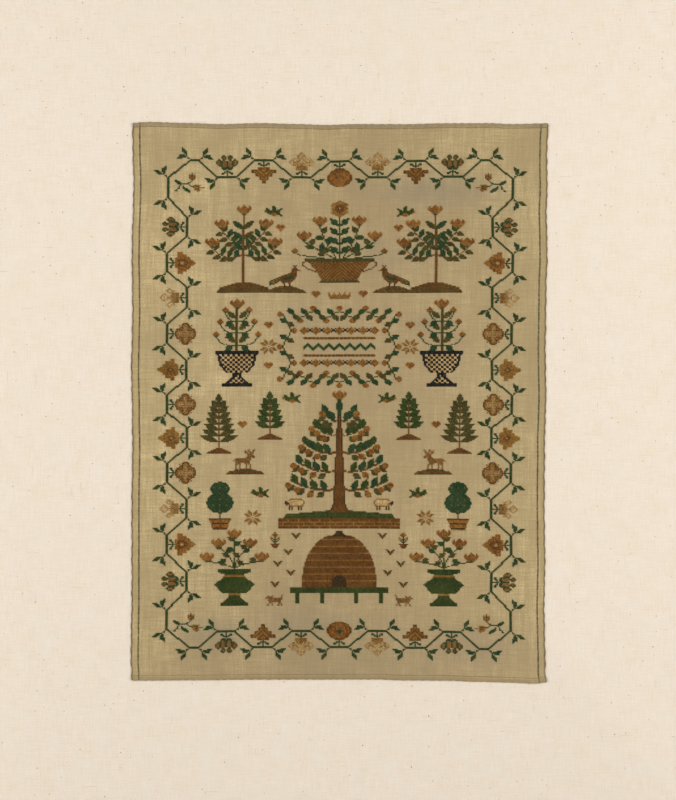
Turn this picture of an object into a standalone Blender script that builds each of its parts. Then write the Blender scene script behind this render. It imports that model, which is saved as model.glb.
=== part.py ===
"""A cross stitch sampler sewn to a calico-covered mount, lying face up on a flat surface.

Units are metres, with +Z up, +X to the right and +Y towards the top of the needlework. The origin is
the middle of the underside of the mount. Three pieces are made, as a mount maker would cut them: the
board, the calico that is drawn over it and turned in at the back, and the sampler's own cloth.
"""

import math
from collections import namedtuple

import bmesh
import bpy
from mathutils import Matrix, Vector

MM = 0.001

# Mount: the calico's outside size, and the card board inside it
MOUNT_WIDTH = 540 * MM
MOUNT_HEIGHT = 634 * MM
BOARD_THICKNESS = 5 * MM
CALICO_THICKNESS = 1 * MM
TURN_IN = 45 * MM
EDGE_ROUNDING = 2 * MM
CORNER_ROUNDING = 2.5 * MM
BOARD_ROUNDING = 1.2 * MM
MITRE_SLIT = 0.8 * MM
SEATING_GAP = 0.3 * MM

MOUNT_TOP = 2 * CALICO_THICKNESS + 2 * SEATING_GAP + BOARD_THICKNESS

# Sampler cloth: a plain rectangle before the drifts below, with its middle a little off the mount's
SAMPLER_WIDTH = 316 * MM
SAMPLER_HEIGHT = 424 * MM
SAMPLER_MIDDLE = Vector((0.4 * MM, -1.8 * MM))
CLOTH_THICKNESS = 1 * MM
HEM_THICKNESS = 1.6 * MM
TOP_HEM_DEPTH = 2.8 * MM
BOTTOM_HEM_DEPTH = 3.4 * MM
HEM_STEP = 0.7 * MM
COLUMNS = 40
ROWS = 52

# How far each edge strays outward from the rectangle, in millimetres. "along" runs from the sampler's
# middle, to the right for the top and bottom edges and upwards for the two selvedges.
EdgePoint = namedtuple("EdgePoint", "along drift")
TOP_EDGE = [
    EdgePoint(-158, 1.2), EdgePoint(-145, 1.8), EdgePoint(-117, 1.1), EdgePoint(-90, 0.2),
    EdgePoint(-58, 0.9), EdgePoint(-35, 0.2), EdgePoint(-8, -0.5), EdgePoint(12, 0.2),
    EdgePoint(48, 0.1), EdgePoint(84, 0.8), EdgePoint(112, 0.9), EdgePoint(130, 0.2),
    EdgePoint(158, 0.8),
]
BOTTOM_EDGE = [
    EdgePoint(-158, -0.3), EdgePoint(-108, -0.6), EdgePoint(-62, -1.1), EdgePoint(29, -1.2),
    EdgePoint(48, -0.5), EdgePoint(84, -0.3), EdgePoint(102, 0.5), EdgePoint(129, 1.1),
    EdgePoint(148, 1.9), EdgePoint(158, 1.1),
]
LEFT_EDGE = [
    EdgePoint(-212, 0.4), EdgePoint(-196, 0.9), EdgePoint(-143, 0.3), EdgePoint(-79, 0.3),
    EdgePoint(-36, -0.3), EdgePoint(-4, 0), EdgePoint(22, 0.6), EdgePoint(70, -0.3),
    EdgePoint(112, 0.1), EdgePoint(166, -1.2), EdgePoint(196, -0.4), EdgePoint(212, -0.5),
]
RIGHT_EDGE = [
    EdgePoint(-212, 0.5), EdgePoint(-204, -0.5), EdgePoint(-153, -1.3), EdgePoint(-121, -0.7),
    EdgePoint(-79, -1.2), EdgePoint(-30, -0.9), EdgePoint(6, 0.1), EdgePoint(38, -0.4),
    EdgePoint(81, 0.1), EdgePoint(113, 1), EdgePoint(144, 0.4), EdgePoint(166, 1.1),
    EdgePoint(180, 0.7), EdgePoint(198, 1.1), EdgePoint(212, 1.9),
]

# Soft ridges in the cloth, all in millimetres and degrees: the middle, the half length and half width
# over which each one fades, the turn of its long axis from +X, and its height off the mount.
Ridge = namedtuple("Ridge", "x y half_length half_width turn height")
RIDGES = [
    Ridge(-72, 186, 30, 6, 88, 0.5), Ridge(-38, 190, 26, 5, 93, 0.6), Ridge(2, 188, 30, 7, 90, 0.7),
    Ridge(38, 192, 24, 5, 86, 0.5), Ridge(76, 184, 34, 7, 92, 0.6), Ridge(112, 176, 36, 9, 80, 0.5),
    Ridge(96, 120, 44, 14, 62, 0.6), Ridge(-70, 58, 70, 7, 2, 0.5), Ridge(84, 60, 60, 8, -3, 0.6),
    Ridge(-128, 20, 80, 9, 88, 0.5), Ridge(128, -20, 90, 10, 91, 0.5), Ridge(0, 6, 46, 16, 8, 0.6),
    Ridge(-96, -66, 54, 14, -24, 0.5), Ridge(88, -96, 60, 15, 20, 0.5), Ridge(0, -120, 80, 12, 1, 0.5),
    Ridge(-104, -176, 42, 11, 38, 0.6), Ridge(104, -178, 40, 12, -34, 0.7), Ridge(6, -192, 70, 6, 0, 0.4),
    Ridge(146, -200, 22, 7, 90, 0.5), Ridge(-148, 120, 60, 7, 90, 0.4),
]


def new_collection(name):
    """A collection of that name, linked to the scene."""
    collection = bpy.data.collections.new(name)
    bpy.context.scene.collection.children.link(collection)
    return collection


def add_object(name, mesh, collection, material=None):
    """An object that shows the mesh, in the collection and with the material."""
    obj = bpy.data.objects.new(name, mesh)
    collection.objects.link(obj)
    if material:
        mesh.materials.append(material)
    return obj


def mesh_from(name, build):
    """A mesh filled by build(bm)."""
    mesh = bpy.data.meshes.new(name)
    bm = bmesh.new()
    build(bm)
    bm.to_mesh(mesh)
    bm.free()
    return mesh


def surface_material(name, colour, roughness):
    """A dull, non-metallic Principled material in a linear colour."""
    material = bpy.data.materials.new(name)
    material.use_nodes = True
    shader = material.node_tree.nodes["Principled BSDF"]
    shader.inputs["Base Color"].default_value = (*colour, 1)
    shader.inputs["Roughness"].default_value = roughness
    shader.inputs["Metallic"].default_value = 0
    return material


def rounded_rectangle(half_width, half_height, radius, arc_steps=5):
    """Corner arcs of a rectangle, anticlockwise from the right-hand top corner, as a list of (x, y)."""
    points = []
    for quarter, (side, end) in enumerate([(1, 1), (-1, 1), (-1, -1), (1, -1)]):
        centre = Vector((side * (half_width - radius), end * (half_height - radius)))
        for step in range(arc_steps + 1):
            angle = math.radians(90) * (quarter + step / arc_steps)
            points.append(centre + radius * Vector((math.cos(angle), math.sin(angle))))
    return points


def calico_profile(arc_steps=4):
    """The calico's outer line from the turn-in's cut edge to the face, as (inset, height) pairs."""
    r = EDGE_ROUNDING
    profile = [(TURN_IN, 0)]
    for step in range(arc_steps + 1):
        angle = math.radians(90) * step / arc_steps
        profile.append((r - r * math.sin(angle), r - r * math.cos(angle)))
    for step in range(arc_steps + 1):
        angle = math.radians(90) * step / arc_steps
        profile.append((r - r * math.cos(angle), MOUNT_TOP - r + r * math.sin(angle)))
    return profile


def build_calico(bm):
    """Rings of vertices up the profile, joined by bands of faces and closed by the flat face."""
    rings = []
    for inset, height in calico_profile():
        radius = max(CORNER_ROUNDING - inset, 0.4 * MM)
        outline = rounded_rectangle(MOUNT_WIDTH / 2 - inset, MOUNT_HEIGHT / 2 - inset, radius)
        rings.append([bm.verts.new((p.x, p.y, height)) for p in outline])
    for lower, upper in zip(rings, rings[1:]):
        for i in range(len(lower)):
            j = (i + 1) % len(lower)
            bm.faces.new((lower[i], lower[j], upper[j], upper[i]))
    bm.faces.new(rings[-1])


def mitre_cutter(corner_x, corner_y, collection):
    """A thin upright slab along the diagonal of one back corner, where the folded edges meet."""
    inner, outer = TURN_IN + 4 * MM, 3 * MM
    diagonal = math.sqrt(2)
    length = (inner - outer) * diagonal
    middle = (inner + outer) / 2
    place = Matrix.Translation((
        corner_x * (MOUNT_WIDTH / 2 - middle),
        corner_y * (MOUNT_HEIGHT / 2 - middle),
        0,
    ))
    turn = Matrix.Rotation(math.radians(45) * corner_x * corner_y, 4, "Z")
    size = Matrix.Diagonal((length, MITRE_SLIT, 2 * (CALICO_THICKNESS + SEATING_GAP / 2), 1))

    def build(bm):
        bmesh.ops.create_cube(bm, size=1, matrix=place @ turn @ size)

    cutter = add_object("mitre_cutter", mesh_from("mitre_cutter", build), collection)
    cutter.hide_render = True
    cutter.display_type = "WIRE"
    return cutter


def make_mount_cover(collection, cutters, material):
    """The calico: face, four rounded edges and turn-ins, one piece of cloth with mitred corners."""
    cover = add_object("mount_cover", mesh_from("mount_cover", build_calico), collection, material)
    shell = cover.modifiers.new("calico_thickness", "SOLIDIFY")
    shell.thickness = CALICO_THICKNESS
    shell.offset = -1
    shell.use_even_offset = True
    for corner_x, corner_y in [(1, 1), (-1, 1), (-1, -1), (1, -1)]:
        cut = cover.modifiers.new("mitre", "BOOLEAN")
        cut.operation = "DIFFERENCE"
        cut.object = mitre_cutter(corner_x, corner_y, cutters)
    cover.data.shade_smooth()
    cover.data.set_sharp_from_angle(angle=math.radians(35))


def make_mount_board(collection, material):
    """The card board that the calico is drawn over, a little clear of it all round."""
    clearance = CALICO_THICKNESS + SEATING_GAP
    size = Matrix.Diagonal((
        MOUNT_WIDTH - 2 * clearance, MOUNT_HEIGHT - 2 * clearance, BOARD_THICKNESS, 1,
    ))
    place = Matrix.Translation((0, 0, clearance + BOARD_THICKNESS / 2))

    def build(bm):
        bmesh.ops.create_cube(bm, size=1, matrix=place @ size)

    board = add_object("mount_board", mesh_from("mount_board", build), collection, material)
    rounding = board.modifiers.new("worn_edges", "BEVEL")
    rounding.width = BOARD_ROUNDING
    rounding.segments = 3


def drift(edge, along):
    """How far an edge strays outward at a place along it, eased between the table's rows; metres."""
    along /= MM
    if along <= edge[0].along:
        return edge[0].drift * MM
    for before, after in zip(edge, edge[1:]):
        if along <= after.along:
            share = (along - before.along) / (after.along - before.along)
            eased = (1 - math.cos(math.pi * share)) / 2
            return (before.drift + (after.drift - before.drift) * eased) * MM
    return edge[-1].drift * MM


def lift(x, y):
    """Height of the cloth's underside over its lowest place on the mount, from the soft ridges."""
    height = 0
    for ridge in RIDGES:
        turn = math.radians(ridge.turn)
        dx, dy = x / MM - ridge.x, y / MM - ridge.y
        along = (dx * math.cos(turn) + dy * math.sin(turn)) / ridge.half_length
        across = (dy * math.cos(turn) - dx * math.sin(turn)) / ridge.half_width
        height += ridge.height * math.exp(-(along * along + across * across))
    return height * MM


def row_heights():
    """The rows' places from the bottom edge, with a close pair where each hem steps down."""
    bottom_step = BOTTOM_HEM_DEPTH + HEM_STEP
    top_step = SAMPLER_HEIGHT - TOP_HEM_DEPTH - HEM_STEP
    plain = [bottom_step + (top_step - bottom_step) * i / ROWS for i in range(ROWS + 1)]
    return [0, BOTTOM_HEM_DEPTH, *plain, SAMPLER_HEIGHT - TOP_HEM_DEPTH, SAMPLER_HEIGHT]


def place_on_cloth(across, up):
    """The point of the underside for shares across the cloth and metres up it."""
    x = (across - 0.5) * SAMPLER_WIDTH
    y = up - SAMPLER_HEIGHT / 2
    right, left = drift(RIGHT_EDGE, y), drift(LEFT_EDGE, y)
    top, bottom = drift(TOP_EDGE, x), drift(BOTTOM_EDGE, x)
    share_up = up / SAMPLER_HEIGHT
    x += SAMPLER_MIDDLE.x + right * across - left * (1 - across)
    y += SAMPLER_MIDDLE.y + top * share_up - bottom * (1 - share_up)
    return Vector((x, y, MOUNT_TOP + SEATING_GAP + lift(x, y)))


def make_sampler_cloth(collection, material):
    """The needlework's ground: a sheet with uneven edges, soft ridges and a hem top and bottom."""
    rows = row_heights()
    hem_rows = (0, 1, len(rows) - 2, len(rows) - 1)

    def build(bm):
        bmesh.ops.create_grid(bm, x_segments=COLUMNS, y_segments=len(rows) - 1, size=0.5)
        thickness_weight = bm.verts.layers.deform.verify()
        for vert in bm.verts:
            row = round((vert.co.y + 0.5) * (len(rows) - 1))
            vert[thickness_weight][0] = 1 if row in hem_rows else 0
            vert.co = place_on_cloth(vert.co.x + 0.5, rows[row])

    mesh = mesh_from("sampler_cloth", build)
    cloth = add_object("sampler_cloth", mesh, collection, material)
    hem = cloth.vertex_groups.new(name="hem")
    body = cloth.modifiers.new("cloth_thickness", "SOLIDIFY")
    body.thickness = HEM_THICKNESS
    body.offset = 1
    body.vertex_group = hem.name
    body.thickness_vertex_group = CLOTH_THICKNESS / HEM_THICKNESS
    mesh.shade_smooth()


def main():
    """Clears the scene and makes the mount and the sampler on it."""
    for obj in list(bpy.data.objects):
        bpy.data.objects.remove(obj, do_unlink=True)
    parts = new_collection("sampler_on_mount")
    cutters = new_collection("cutters")
    calico = surface_material("unbleached_calico", (0.85, 0.73, 0.59), 0.9)
    card = surface_material("grey_card", (0.52, 0.5, 0.46), 0.85)
    ground = surface_material("aged_wool_ground", (0.42, 0.31, 0.16), 0.9)
    make_mount_board(parts, card)
    make_mount_cover(parts, cutters, calico)
    make_sampler_cloth(parts, ground)


main()
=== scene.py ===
"""Looks of a cross stitch sampler that is sewn to a calico-covered mount and lies face up.

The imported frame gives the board, the calico cover and the sampler's cloth at their real size, in metres,
with +Z up and +Y towards the top of the needlework. This script dresses them: it lays a finer calico and
a finer ground cloth in the places of the plain ones, works every silk stitch from charts, and sets up the
floor, the light and a camera that looks straight down.
"""

import logging
import math
from collections.abc import Callable, Iterator
from dataclasses import dataclass, field
from enum import Enum
from itertools import product

import bmesh
import bpy
import numpy as np
from bpy.types import Material, Mesh, Node, NodeSocket, NodeTree, Object
from mathutils import Matrix, Vector


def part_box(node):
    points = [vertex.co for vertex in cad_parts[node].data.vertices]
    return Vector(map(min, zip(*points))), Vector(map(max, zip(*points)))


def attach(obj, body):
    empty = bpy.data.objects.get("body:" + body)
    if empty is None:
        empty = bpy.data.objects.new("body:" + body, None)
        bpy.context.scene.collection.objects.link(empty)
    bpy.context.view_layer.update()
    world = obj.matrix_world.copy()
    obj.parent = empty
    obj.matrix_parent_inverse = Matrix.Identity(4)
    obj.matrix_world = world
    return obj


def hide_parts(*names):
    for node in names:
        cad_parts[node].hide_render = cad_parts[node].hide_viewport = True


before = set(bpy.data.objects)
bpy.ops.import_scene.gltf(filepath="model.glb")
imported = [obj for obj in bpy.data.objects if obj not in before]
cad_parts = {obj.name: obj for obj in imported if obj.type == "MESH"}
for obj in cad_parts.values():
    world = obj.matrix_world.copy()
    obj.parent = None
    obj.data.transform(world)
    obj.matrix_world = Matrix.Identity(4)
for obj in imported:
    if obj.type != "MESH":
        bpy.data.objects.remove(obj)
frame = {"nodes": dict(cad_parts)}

log = logging.getLogger("sampler")

MM = 0.001
SEED = 1820
QUARTER_TURN = math.radians(90)
CLOTH_UV = "cloth"
SHADE = "shade"
NORMAL = "lie"

# Inputs of the Mix node when it mixes colours
MIX_FACTOR, MIX_A, MIX_B = 0, 6, 7

Place = tuple[float, float]
# What can feed a node's input: a socket, or a node, which stands for its first output in use
Source = Node | NodeSocket


# ---------------------------------------------------------------- small tools


def linear(hex_colour: str) -> tuple[float, float, float, float]:
    """Turns an sRGB hex colour into the linear values that the shaders work in.

    Args:
        hex_colour: Six hex digits, such as "b7a076".

    Returns:
        Linear red, green, blue and an alpha of 1.
    """
    shares = [int(hex_colour[i : i + 2], 16) / 255 for i in (0, 2, 4)]
    parts = [s / 12.92 if s <= 0.04045 else ((s + 0.055) / 1.055) ** 2.4 for s in shares]
    return (*parts, 1.0)


def feed(tree: NodeTree, node: Node, inputs: dict) -> None:
    """Gives a node's inputs their values and links.

    Args:
        tree: The tree that the node is in.
        node: The node.
        inputs: For each input's name or number, its value or the source that feeds it.
    """
    for key, value in inputs.items():
        if isinstance(value, Node):
            value = next(output for output in value.outputs if output.enabled)
        if isinstance(value, NodeSocket):
            tree.links.new(value, node.inputs[key])
        else:
            node.inputs[key].default_value = value


def add(tree: NodeTree, kind: str, inputs: dict | None = None, **settings: object) -> Node:
    """Adds a node to a shader or geometry tree.

    Args:
        tree: The tree that gets the node.
        kind: Blender's type name of the node.
        inputs: For each input's name or number, its value or the source that feeds it.
        settings: Properties to set on the node.

    Returns:
        The new node.
    """
    node = tree.nodes.new(kind)
    for name, value in settings.items():
        setattr(node, name, value)
    feed(tree, node, inputs or {})
    return node


def show(mesh: Mesh, name: str) -> Object:
    """Links a new object that shows a mesh.

    Args:
        mesh: The mesh.
        name: The object's name.

    Returns:
        The object, at the origin.
    """
    obj = bpy.data.objects.new(name, mesh)
    bpy.context.scene.collection.objects.link(obj)
    return obj


def finished(host: Object, name: str) -> Object:
    """Turns an object's modifiers into a plain mesh object and removes the object they were on.

    Args:
        host: The object with its modifiers.
        name: The finished piece's name.

    Returns:
        The finished piece, at the origin.
    """
    depsgraph = bpy.context.evaluated_depsgraph_get()
    mesh = bpy.data.meshes.new_from_object(
        host.evaluated_get(depsgraph), preserve_all_data_layers=True, depsgraph=depsgraph
    )
    mesh.name = name
    bpy.data.objects.remove(host)
    return show(mesh, name)


def triangles(piece: Object) -> int:
    """Counts the triangles of a finished piece."""
    return sum(len(p.vertices) - 2 for p in piece.data.polygons)


def deliver(piece: Object, slot: str, *replaced: str) -> Object:
    """Hands a finished piece to the frame and reports it.

    Args:
        piece: The finished piece.
        slot: The record's material slot; not used.
        replaced: CAD nodes that the piece stands for.

    Returns:
        The same piece.
    """
    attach(piece, "root")
    if replaced:
        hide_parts(*replaced)
    log.info("%-24s %7d triangles", piece.name, triangles(piece))
    return piece


# ---------------------------------------------------------------- finishes


@dataclass(frozen=True)
class Finish:
    """A dull, non-metallic surface that the other finishes start from."""

    name: str
    colour: str
    roughness: float = 0.9
    shine: float = 0.2

    def material(self) -> Material:
        """Makes the material: its plain values, and then what its surface adds to them.

        Returns:
            The finished material.
        """
        material = bpy.data.materials.new(self.name)
        material.use_nodes = True
        tree = material.node_tree
        shader = tree.nodes["Principled BSDF"]
        plain = {"Roughness": self.roughness, "Specular IOR Level": self.shine}
        feed(tree, shader, {"Base Color": linear(self.colour), **plain})
        feed(tree, shader, self.surface(tree))
        return material

    def surface(self, tree: NodeTree) -> dict[str, object]:
        """Adds a kind of surface's own nodes and names the shader inputs they feed; a plain one has none."""
        return {}


@dataclass(frozen=True)
class WovenCloth(Finish):
    """Plain-weave cloth: two sets of threads that cross over and under, none of them quite even.

    The true threads are finer than a pixel of the render, so their bump only takes the shine off. What the
    eye sees is drawn coarser than they are, so that it shows: thick and thin threads as short streaks both
    ways and broad ones up the cloth, a peppery grain where they cross, and two faint tints in clouds.
    """

    streak: str = "000000"
    warp_pitch: float = 0.5 * MM
    weft_pitch: float = 0.45 * MM
    streak_width: float = 1.3 * MM
    streak_length: float = 22 * MM
    streak_share: float = 0.3
    broad_width: float = 6 * MM
    broad_length: float = 70 * MM
    broad_share: float = 0.0
    grain_size: float = 1.1 * MM
    grain_share: float = 0.2
    cloud: str = "000000"
    cloud_size: float = 60 * MM
    cloud_share: float = 0.25
    tint: str = "000000"
    tint_size: float = 22 * MM
    tint_share: float = 0.2
    thread_depth: float = 0.12 * MM

    def tone(self, tree: NodeTree, cloth: Source) -> Source:
        """Adds the cloth's colour with its streaks, grain and clouds.

        Args:
            tree: The material's tree.
            cloth: The source of the UV map.

        Returns:
            The source of the colour.
        """
        # Each kind of uneven place: its size across and up, the most it has of a colour, and that colour
        marks = (
            (self.streak_width, self.streak_length, self.streak_share, self.streak),
            (self.streak_length, self.streak_width, self.streak_share, self.streak),
            (self.broad_width, self.broad_length, self.broad_share, self.streak),
            (self.grain_size, self.grain_size, self.grain_share, self.streak),
            (self.cloud_size, self.cloud_size, self.cloud_share, self.cloud),
            (self.tint_size, self.tint_size, self.tint_share, self.tint),
        )
        colour = linear(self.colour)
        for place, (across, up, most, mark) in enumerate(marks):
            # Each kind reads the noise at a place of its own
            moved = add(tree, "ShaderNodeMapping", {
                "Vector": cloth,
                "Location": (7.3 * place, 3.1 * place, place), "Scale": (1 / across, 1 / up, 1),
            })
            noise = add(tree, "ShaderNodeTexNoise", {
                "Vector": moved, "Scale": 1.0, "Detail": 2.5, "Roughness": 0.6,
            })
            share = add(tree, "ShaderNodeMapRange", {
                "Value": noise, "From Min": 0.35, "From Max": 0.7, "To Min": 0.0, "To Max": most,
            })
            colour = add(tree, "ShaderNodeMix", {
                MIX_FACTOR: share, MIX_A: colour, MIX_B: linear(mark),
            }, data_type="RGBA")
        return colour

    def dress(self, tree: NodeTree, cloth: Source, colour: Source) -> Source:
        """Lets a kind of cloth add its own marks to the colour; plain cloth has none."""
        return colour

    def surface(self, tree: NodeTree) -> dict[str, object]:
        """Adds the colour, with painted shade darkening the hollows between the threads, and the weave's
        bump.

        Args:
            tree: The material's tree.

        Returns:
            For each of the shader's inputs that they feed, its source or value.
        """
        cloth = add(tree, "ShaderNodeUVMap", uv_map=CLOTH_UV)
        # The wave node draws a band at every tau / 20 of its scaled length
        threads = [
            add(tree, "ShaderNodeTexWave", {
                "Vector": cloth, "Scale": math.tau / (20 * pitch),
                "Distortion": 0.6, "Detail": 1.0, "Detail Scale": 1.5,
            }, bands_direction=direction).outputs["Fac"]
            for direction, pitch in (("X", self.warp_pitch), ("Y", self.weft_pitch))
        ]
        height = add(tree, "ShaderNodeMath", {0: threads[0], 1: threads[1]}, operation="ADD")
        colour = self.dress(tree, cloth, self.tone(tree, cloth))
        # Painted shade: the colour is darkened where the threads lie low, in the hollows between them
        hollow_shade = add(tree, "ShaderNodeMapRange", {
            "Value": height, "From Min": 0.0, "From Max": 0.7, "To Min": 0.82, "To Max": 1.0,
        })
        shaded = add(tree, "ShaderNodeHueSaturation", {"Value": hollow_shade, "Color": colour})
        bump = add(tree, "ShaderNodeBump", {
            "Strength": 0.7, "Distance": self.thread_depth, "Height": height,
        })
        return {"Base Color": shaded, "Normal": bump, "Sheen Weight": 0.08, "Sheen Roughness": 0.6}


@dataclass(frozen=True)
class Stain:
    """A soft patch on the cloth with a ragged rim, in millimetres from the cloth's middle.

    Share is how much of its colour it has in its middle.
    """

    x: float
    y: float
    half_width: float
    half_height: float
    share: float
    colour: str = "8d8068"
    ragged: float = 0.9

    def spread(self, tree: NodeTree, cloth: Source) -> Source:
        """Adds the share of the colour, full in the patch's middle and gone at its rim.

        Args:
            tree: The material's tree.
            cloth: The source of the UV map.

        Returns:
            The source of the share.
        """
        wide, high = self.half_width * MM, self.half_height * MM
        uneven = add(tree, "ShaderNodeTexNoise", {
            "Vector": cloth, "Scale": 2 / high, "Detail": 4.0, "Roughness": 0.6,
        })
        placed = add(tree, "ShaderNodeMapping", {
            "Vector": cloth, "Location": (self.x * MM, self.y * MM, 0), "Scale": (wide, high, 1),
        }, vector_type="TEXTURE")
        far = add(tree, "ShaderNodeVectorMath", {0: placed}, operation="LENGTH")
        rim = add(tree, "ShaderNodeMath", {0: uneven, 1: self.ragged, 2: far}, operation="MULTIPLY_ADD")
        return add(tree, "ShaderNodeMapRange", {
            "Value": rim, "From Min": 0.45, "From Max": 1.45, "To Min": self.share, "To Max": 0.0,
        }, interpolation_type="SMOOTHSTEP")


@dataclass(frozen=True)
class Band:
    """A straight band of threads, of hem or of painted shadow across one axis of the cloth, in millimetres
    from its middle.

    A band across X lies on both sides of the middle. Its rim and its strength each change along it, at
    lengths of their own.
    """

    axis: str
    middle: float
    half_width: float
    share: float
    colour: str
    rim_length: float = 6.0
    thinning_length: float = 1.8

    def spread(self, tree: NodeTree, cloth: Source) -> Source:
        """Adds the share of the colour: full on the band, thinner and thicker along it.

        Args:
            tree: The material's tree.
            cloth: The source of the UV map.

        Returns:
            The source of the share.
        """
        half = self.half_width * MM
        place = add(tree, "ShaderNodeSeparateXYZ", {0: cloth}).outputs[self.axis]
        if self.axis == "X":
            place = add(tree, "ShaderNodeMath", {0: place}, operation="ABSOLUTE")
        off = add(tree, "ShaderNodeMath", {0: place, 1: self.middle * MM}, operation="SUBTRACT")
        away = add(tree, "ShaderNodeMath", {0: off}, operation="ABSOLUTE")
        uneven = add(tree, "ShaderNodeTexNoise", {
            "Vector": cloth, "Scale": 1 / (self.rim_length * MM), "Detail": 3.0, "Roughness": 0.7,
        })
        rim = add(tree, "ShaderNodeMath", {0: uneven, 1: half, 2: away}, operation="MULTIPLY_ADD")
        share = add(tree, "ShaderNodeMapRange", {
            "Value": rim, "From Min": 0.9 * half, "From Max": 1.7 * half,
            "To Min": self.share, "To Max": 0.0,
        }, interpolation_type="SMOOTHSTEP")
        thinning = add(tree, "ShaderNodeTexNoise", {
            "Vector": cloth, "Scale": 1 / (self.thinning_length * MM), "Detail": 2.0, "Roughness": 0.6,
        })
        left = add(tree, "ShaderNodeMapRange", {
            "Value": thinning, "From Min": 0.3, "From Max": 0.65, "To Min": 0.6, "To Max": 1.2,
        })
        return add(tree, "ShaderNodeMath", {0: share, 1: left}, operation="MULTIPLY")


@dataclass(frozen=True)
class AgedGround(WovenCloth):
    """The sampler's own cloth: tan wool or linen tammy, browned with age, greyer where damp has been."""

    marks_and_painted_shadows: tuple[Stain | Band, ...] = ()

    def dress(self, tree: NodeTree, cloth: Source, colour: Source) -> Source:
        """Adds the stains, the dark warp stripes, the greyer hems and their painted shadow lines to the
        cloth's colour.

        Args:
            tree: The material's tree.
            cloth: The source of the UV map.
            colour: The source of the clean cloth's colour.

        Returns:
            The source of the dressed colour.
        """
        shares = [mark.spread(tree, cloth) for mark in self.marks_and_painted_shadows]
        for mark, share in zip(self.marks_and_painted_shadows, shares):
            colour = add(tree, "ShaderNodeMix", {
                MIX_FACTOR: share, MIX_A: colour, MIX_B: linear(mark.colour),
            }, data_type="RGBA")
        return colour


@dataclass(frozen=True)
class SpunThread(Finish):
    """Twisted thread: silk, linen or cotton, each stitch a shade of its own where the dye took or faded.

    The two colours are the deep dye and the faded one. The mesh's "shade" attribute picks between them,
    stitch by stitch, and a slow noise adds the dye lots of the skeins. The fibres are a fine bump.
    """

    faded: str = "ffffff"
    skein: float = 14 * MM
    sheen: float = 0.03
    own_shade: float = 0.55
    fibres_a_metre: float = 6000.0
    fibre_depth: float = 0.05 * MM

    def surface(self, tree: NodeTree) -> dict[str, object]:
        """Adds the thread's mixed dye and its fibres.

        Args:
            tree: The material's tree.

        Returns:
            For each of the shader's inputs that they feed, its source or value.
        """
        place = add(tree, "ShaderNodeTexCoord").outputs["Object"]
        stitch = add(tree, "ShaderNodeAttribute", attribute_name=SHADE).outputs["Fac"]
        lots = add(tree, "ShaderNodeTexNoise", {
            "Vector": place, "Scale": 1 / self.skein, "Detail": 3.0, "Roughness": 0.65,
        })
        both = add(tree, "ShaderNodeMath", {0: stitch, 1: self.own_shade, 2: lots}, operation="MULTIPLY_ADD")
        share = add(tree, "ShaderNodeMapRange", {
            "Value": both, "From Min": 0.5, "From Max": 1.1, "To Min": 0.0, "To Max": 1.0,
        })
        colour = add(tree, "ShaderNodeMix", {
            MIX_FACTOR: share, MIX_A: linear(self.colour), MIX_B: linear(self.faded),
        }, data_type="RGBA")
        fibres = add(tree, "ShaderNodeTexNoise", {
            "Vector": place, "Scale": self.fibres_a_metre, "Detail": 1.0,
        })
        bump = add(tree, "ShaderNodeBump", {"Strength": 0.3, "Distance": self.fibre_depth, "Height": fibres})
        return {"Base Color": colour, "Normal": bump, "Sheen Weight": self.sheen, "Sheen Roughness": 0.4}


@dataclass(frozen=True)
class PulpCard(Finish):
    """Grey-white mount card: pressed paper pulp, dull, with a faint mottle of fibres."""

    mottle: str = "a9a49a"
    fibre_length: float = 2.5 * MM
    fibre_depth: float = 0.06 * MM

    def surface(self, tree: NodeTree) -> dict[str, object]:
        """Adds the mottle and the fibres.

        Args:
            tree: The material's tree.

        Returns:
            For each of the shader's inputs that they feed, its source.
        """
        place = add(tree, "ShaderNodeTexCoord").outputs["Object"]
        fibres = add(tree, "ShaderNodeTexNoise", {
            "Vector": place, "Scale": 1 / self.fibre_length, "Detail": 6.0, "Roughness": 0.75,
        })
        colour = add(tree, "ShaderNodeMix", {
            MIX_FACTOR: fibres, MIX_A: linear(self.colour), MIX_B: linear(self.mottle),
        }, data_type="RGBA")
        bump = add(tree, "ShaderNodeBump", {"Strength": 0.4, "Distance": self.fibre_depth, "Height": fibres})
        return {"Base Color": colour, "Normal": bump}


# Tan plain weave, aged brown: dull, with grey damp stains, dark warp stripes, greyer hems and a painted
# shadow line beside each hem
GROUND_FINISH = AgedGround(
    "aged_plain_weave_ground",
    colour="ecd6a2",
    streak="8a7249",
    streak_share=0.45,
    broad_share=0.35,
    grain_share=0.5,
    cloud="9f8b66",
    cloud_size=48 * MM,
    cloud_share=0.62,
    tint="a89268",
    tint_size=13 * MM,
    tint_share=0.5,
    marks_and_painted_shadows=(
        Stain(24, 0, 160, 330, 0.59, "9c8763"),
        Stain(40, 180, 210, 170, 0.18, "7a6849"),
        Stain(-40, -160, 230, 120, 0.18, "7a6849"),
        Stain(74, 160, 70, 19, 0.6),
        Stain(40, 112, 40, 22, 0.3),
        Stain(66, 60, 30, 12, 0.4),
        Stain(-30, 62, 34, 16, 0.3),
        Stain(-96, -176, 44, 18, 0.45),
        Stain(-20, -168, 60, 14, 0.3),
        Stain(104, -186, 46, 20, 0.35),
        Stain(20, -230, 260, 110, 0.5, "958264"),
        Stain(190, 40, 100, 300, 0.5, "9c8a63"),
        Band("X", 151.8, 0.77, 0.84, "403c26"),
        Band("X", 154.6, 1.1, 0.4, "a99463"),
        Band("X", 156.5, 0.5, 0.6, "6f5d3c"),
        Band("Y", 210.1, 1.5, 0.6, "86775f"),
        # Painted shadow: a thin dark line just below the top hem
        Band("Y", 208.2, 0.4, 0.7, "745e3c"),
        Band("Y", -209.8, 1.7, 0.45, "8c7950"),
        # Painted shadow: a thin dark line just above the bottom hem
        Band("Y", -207.6, 0.4, 0.6, "806845"),
    ),
)
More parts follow.
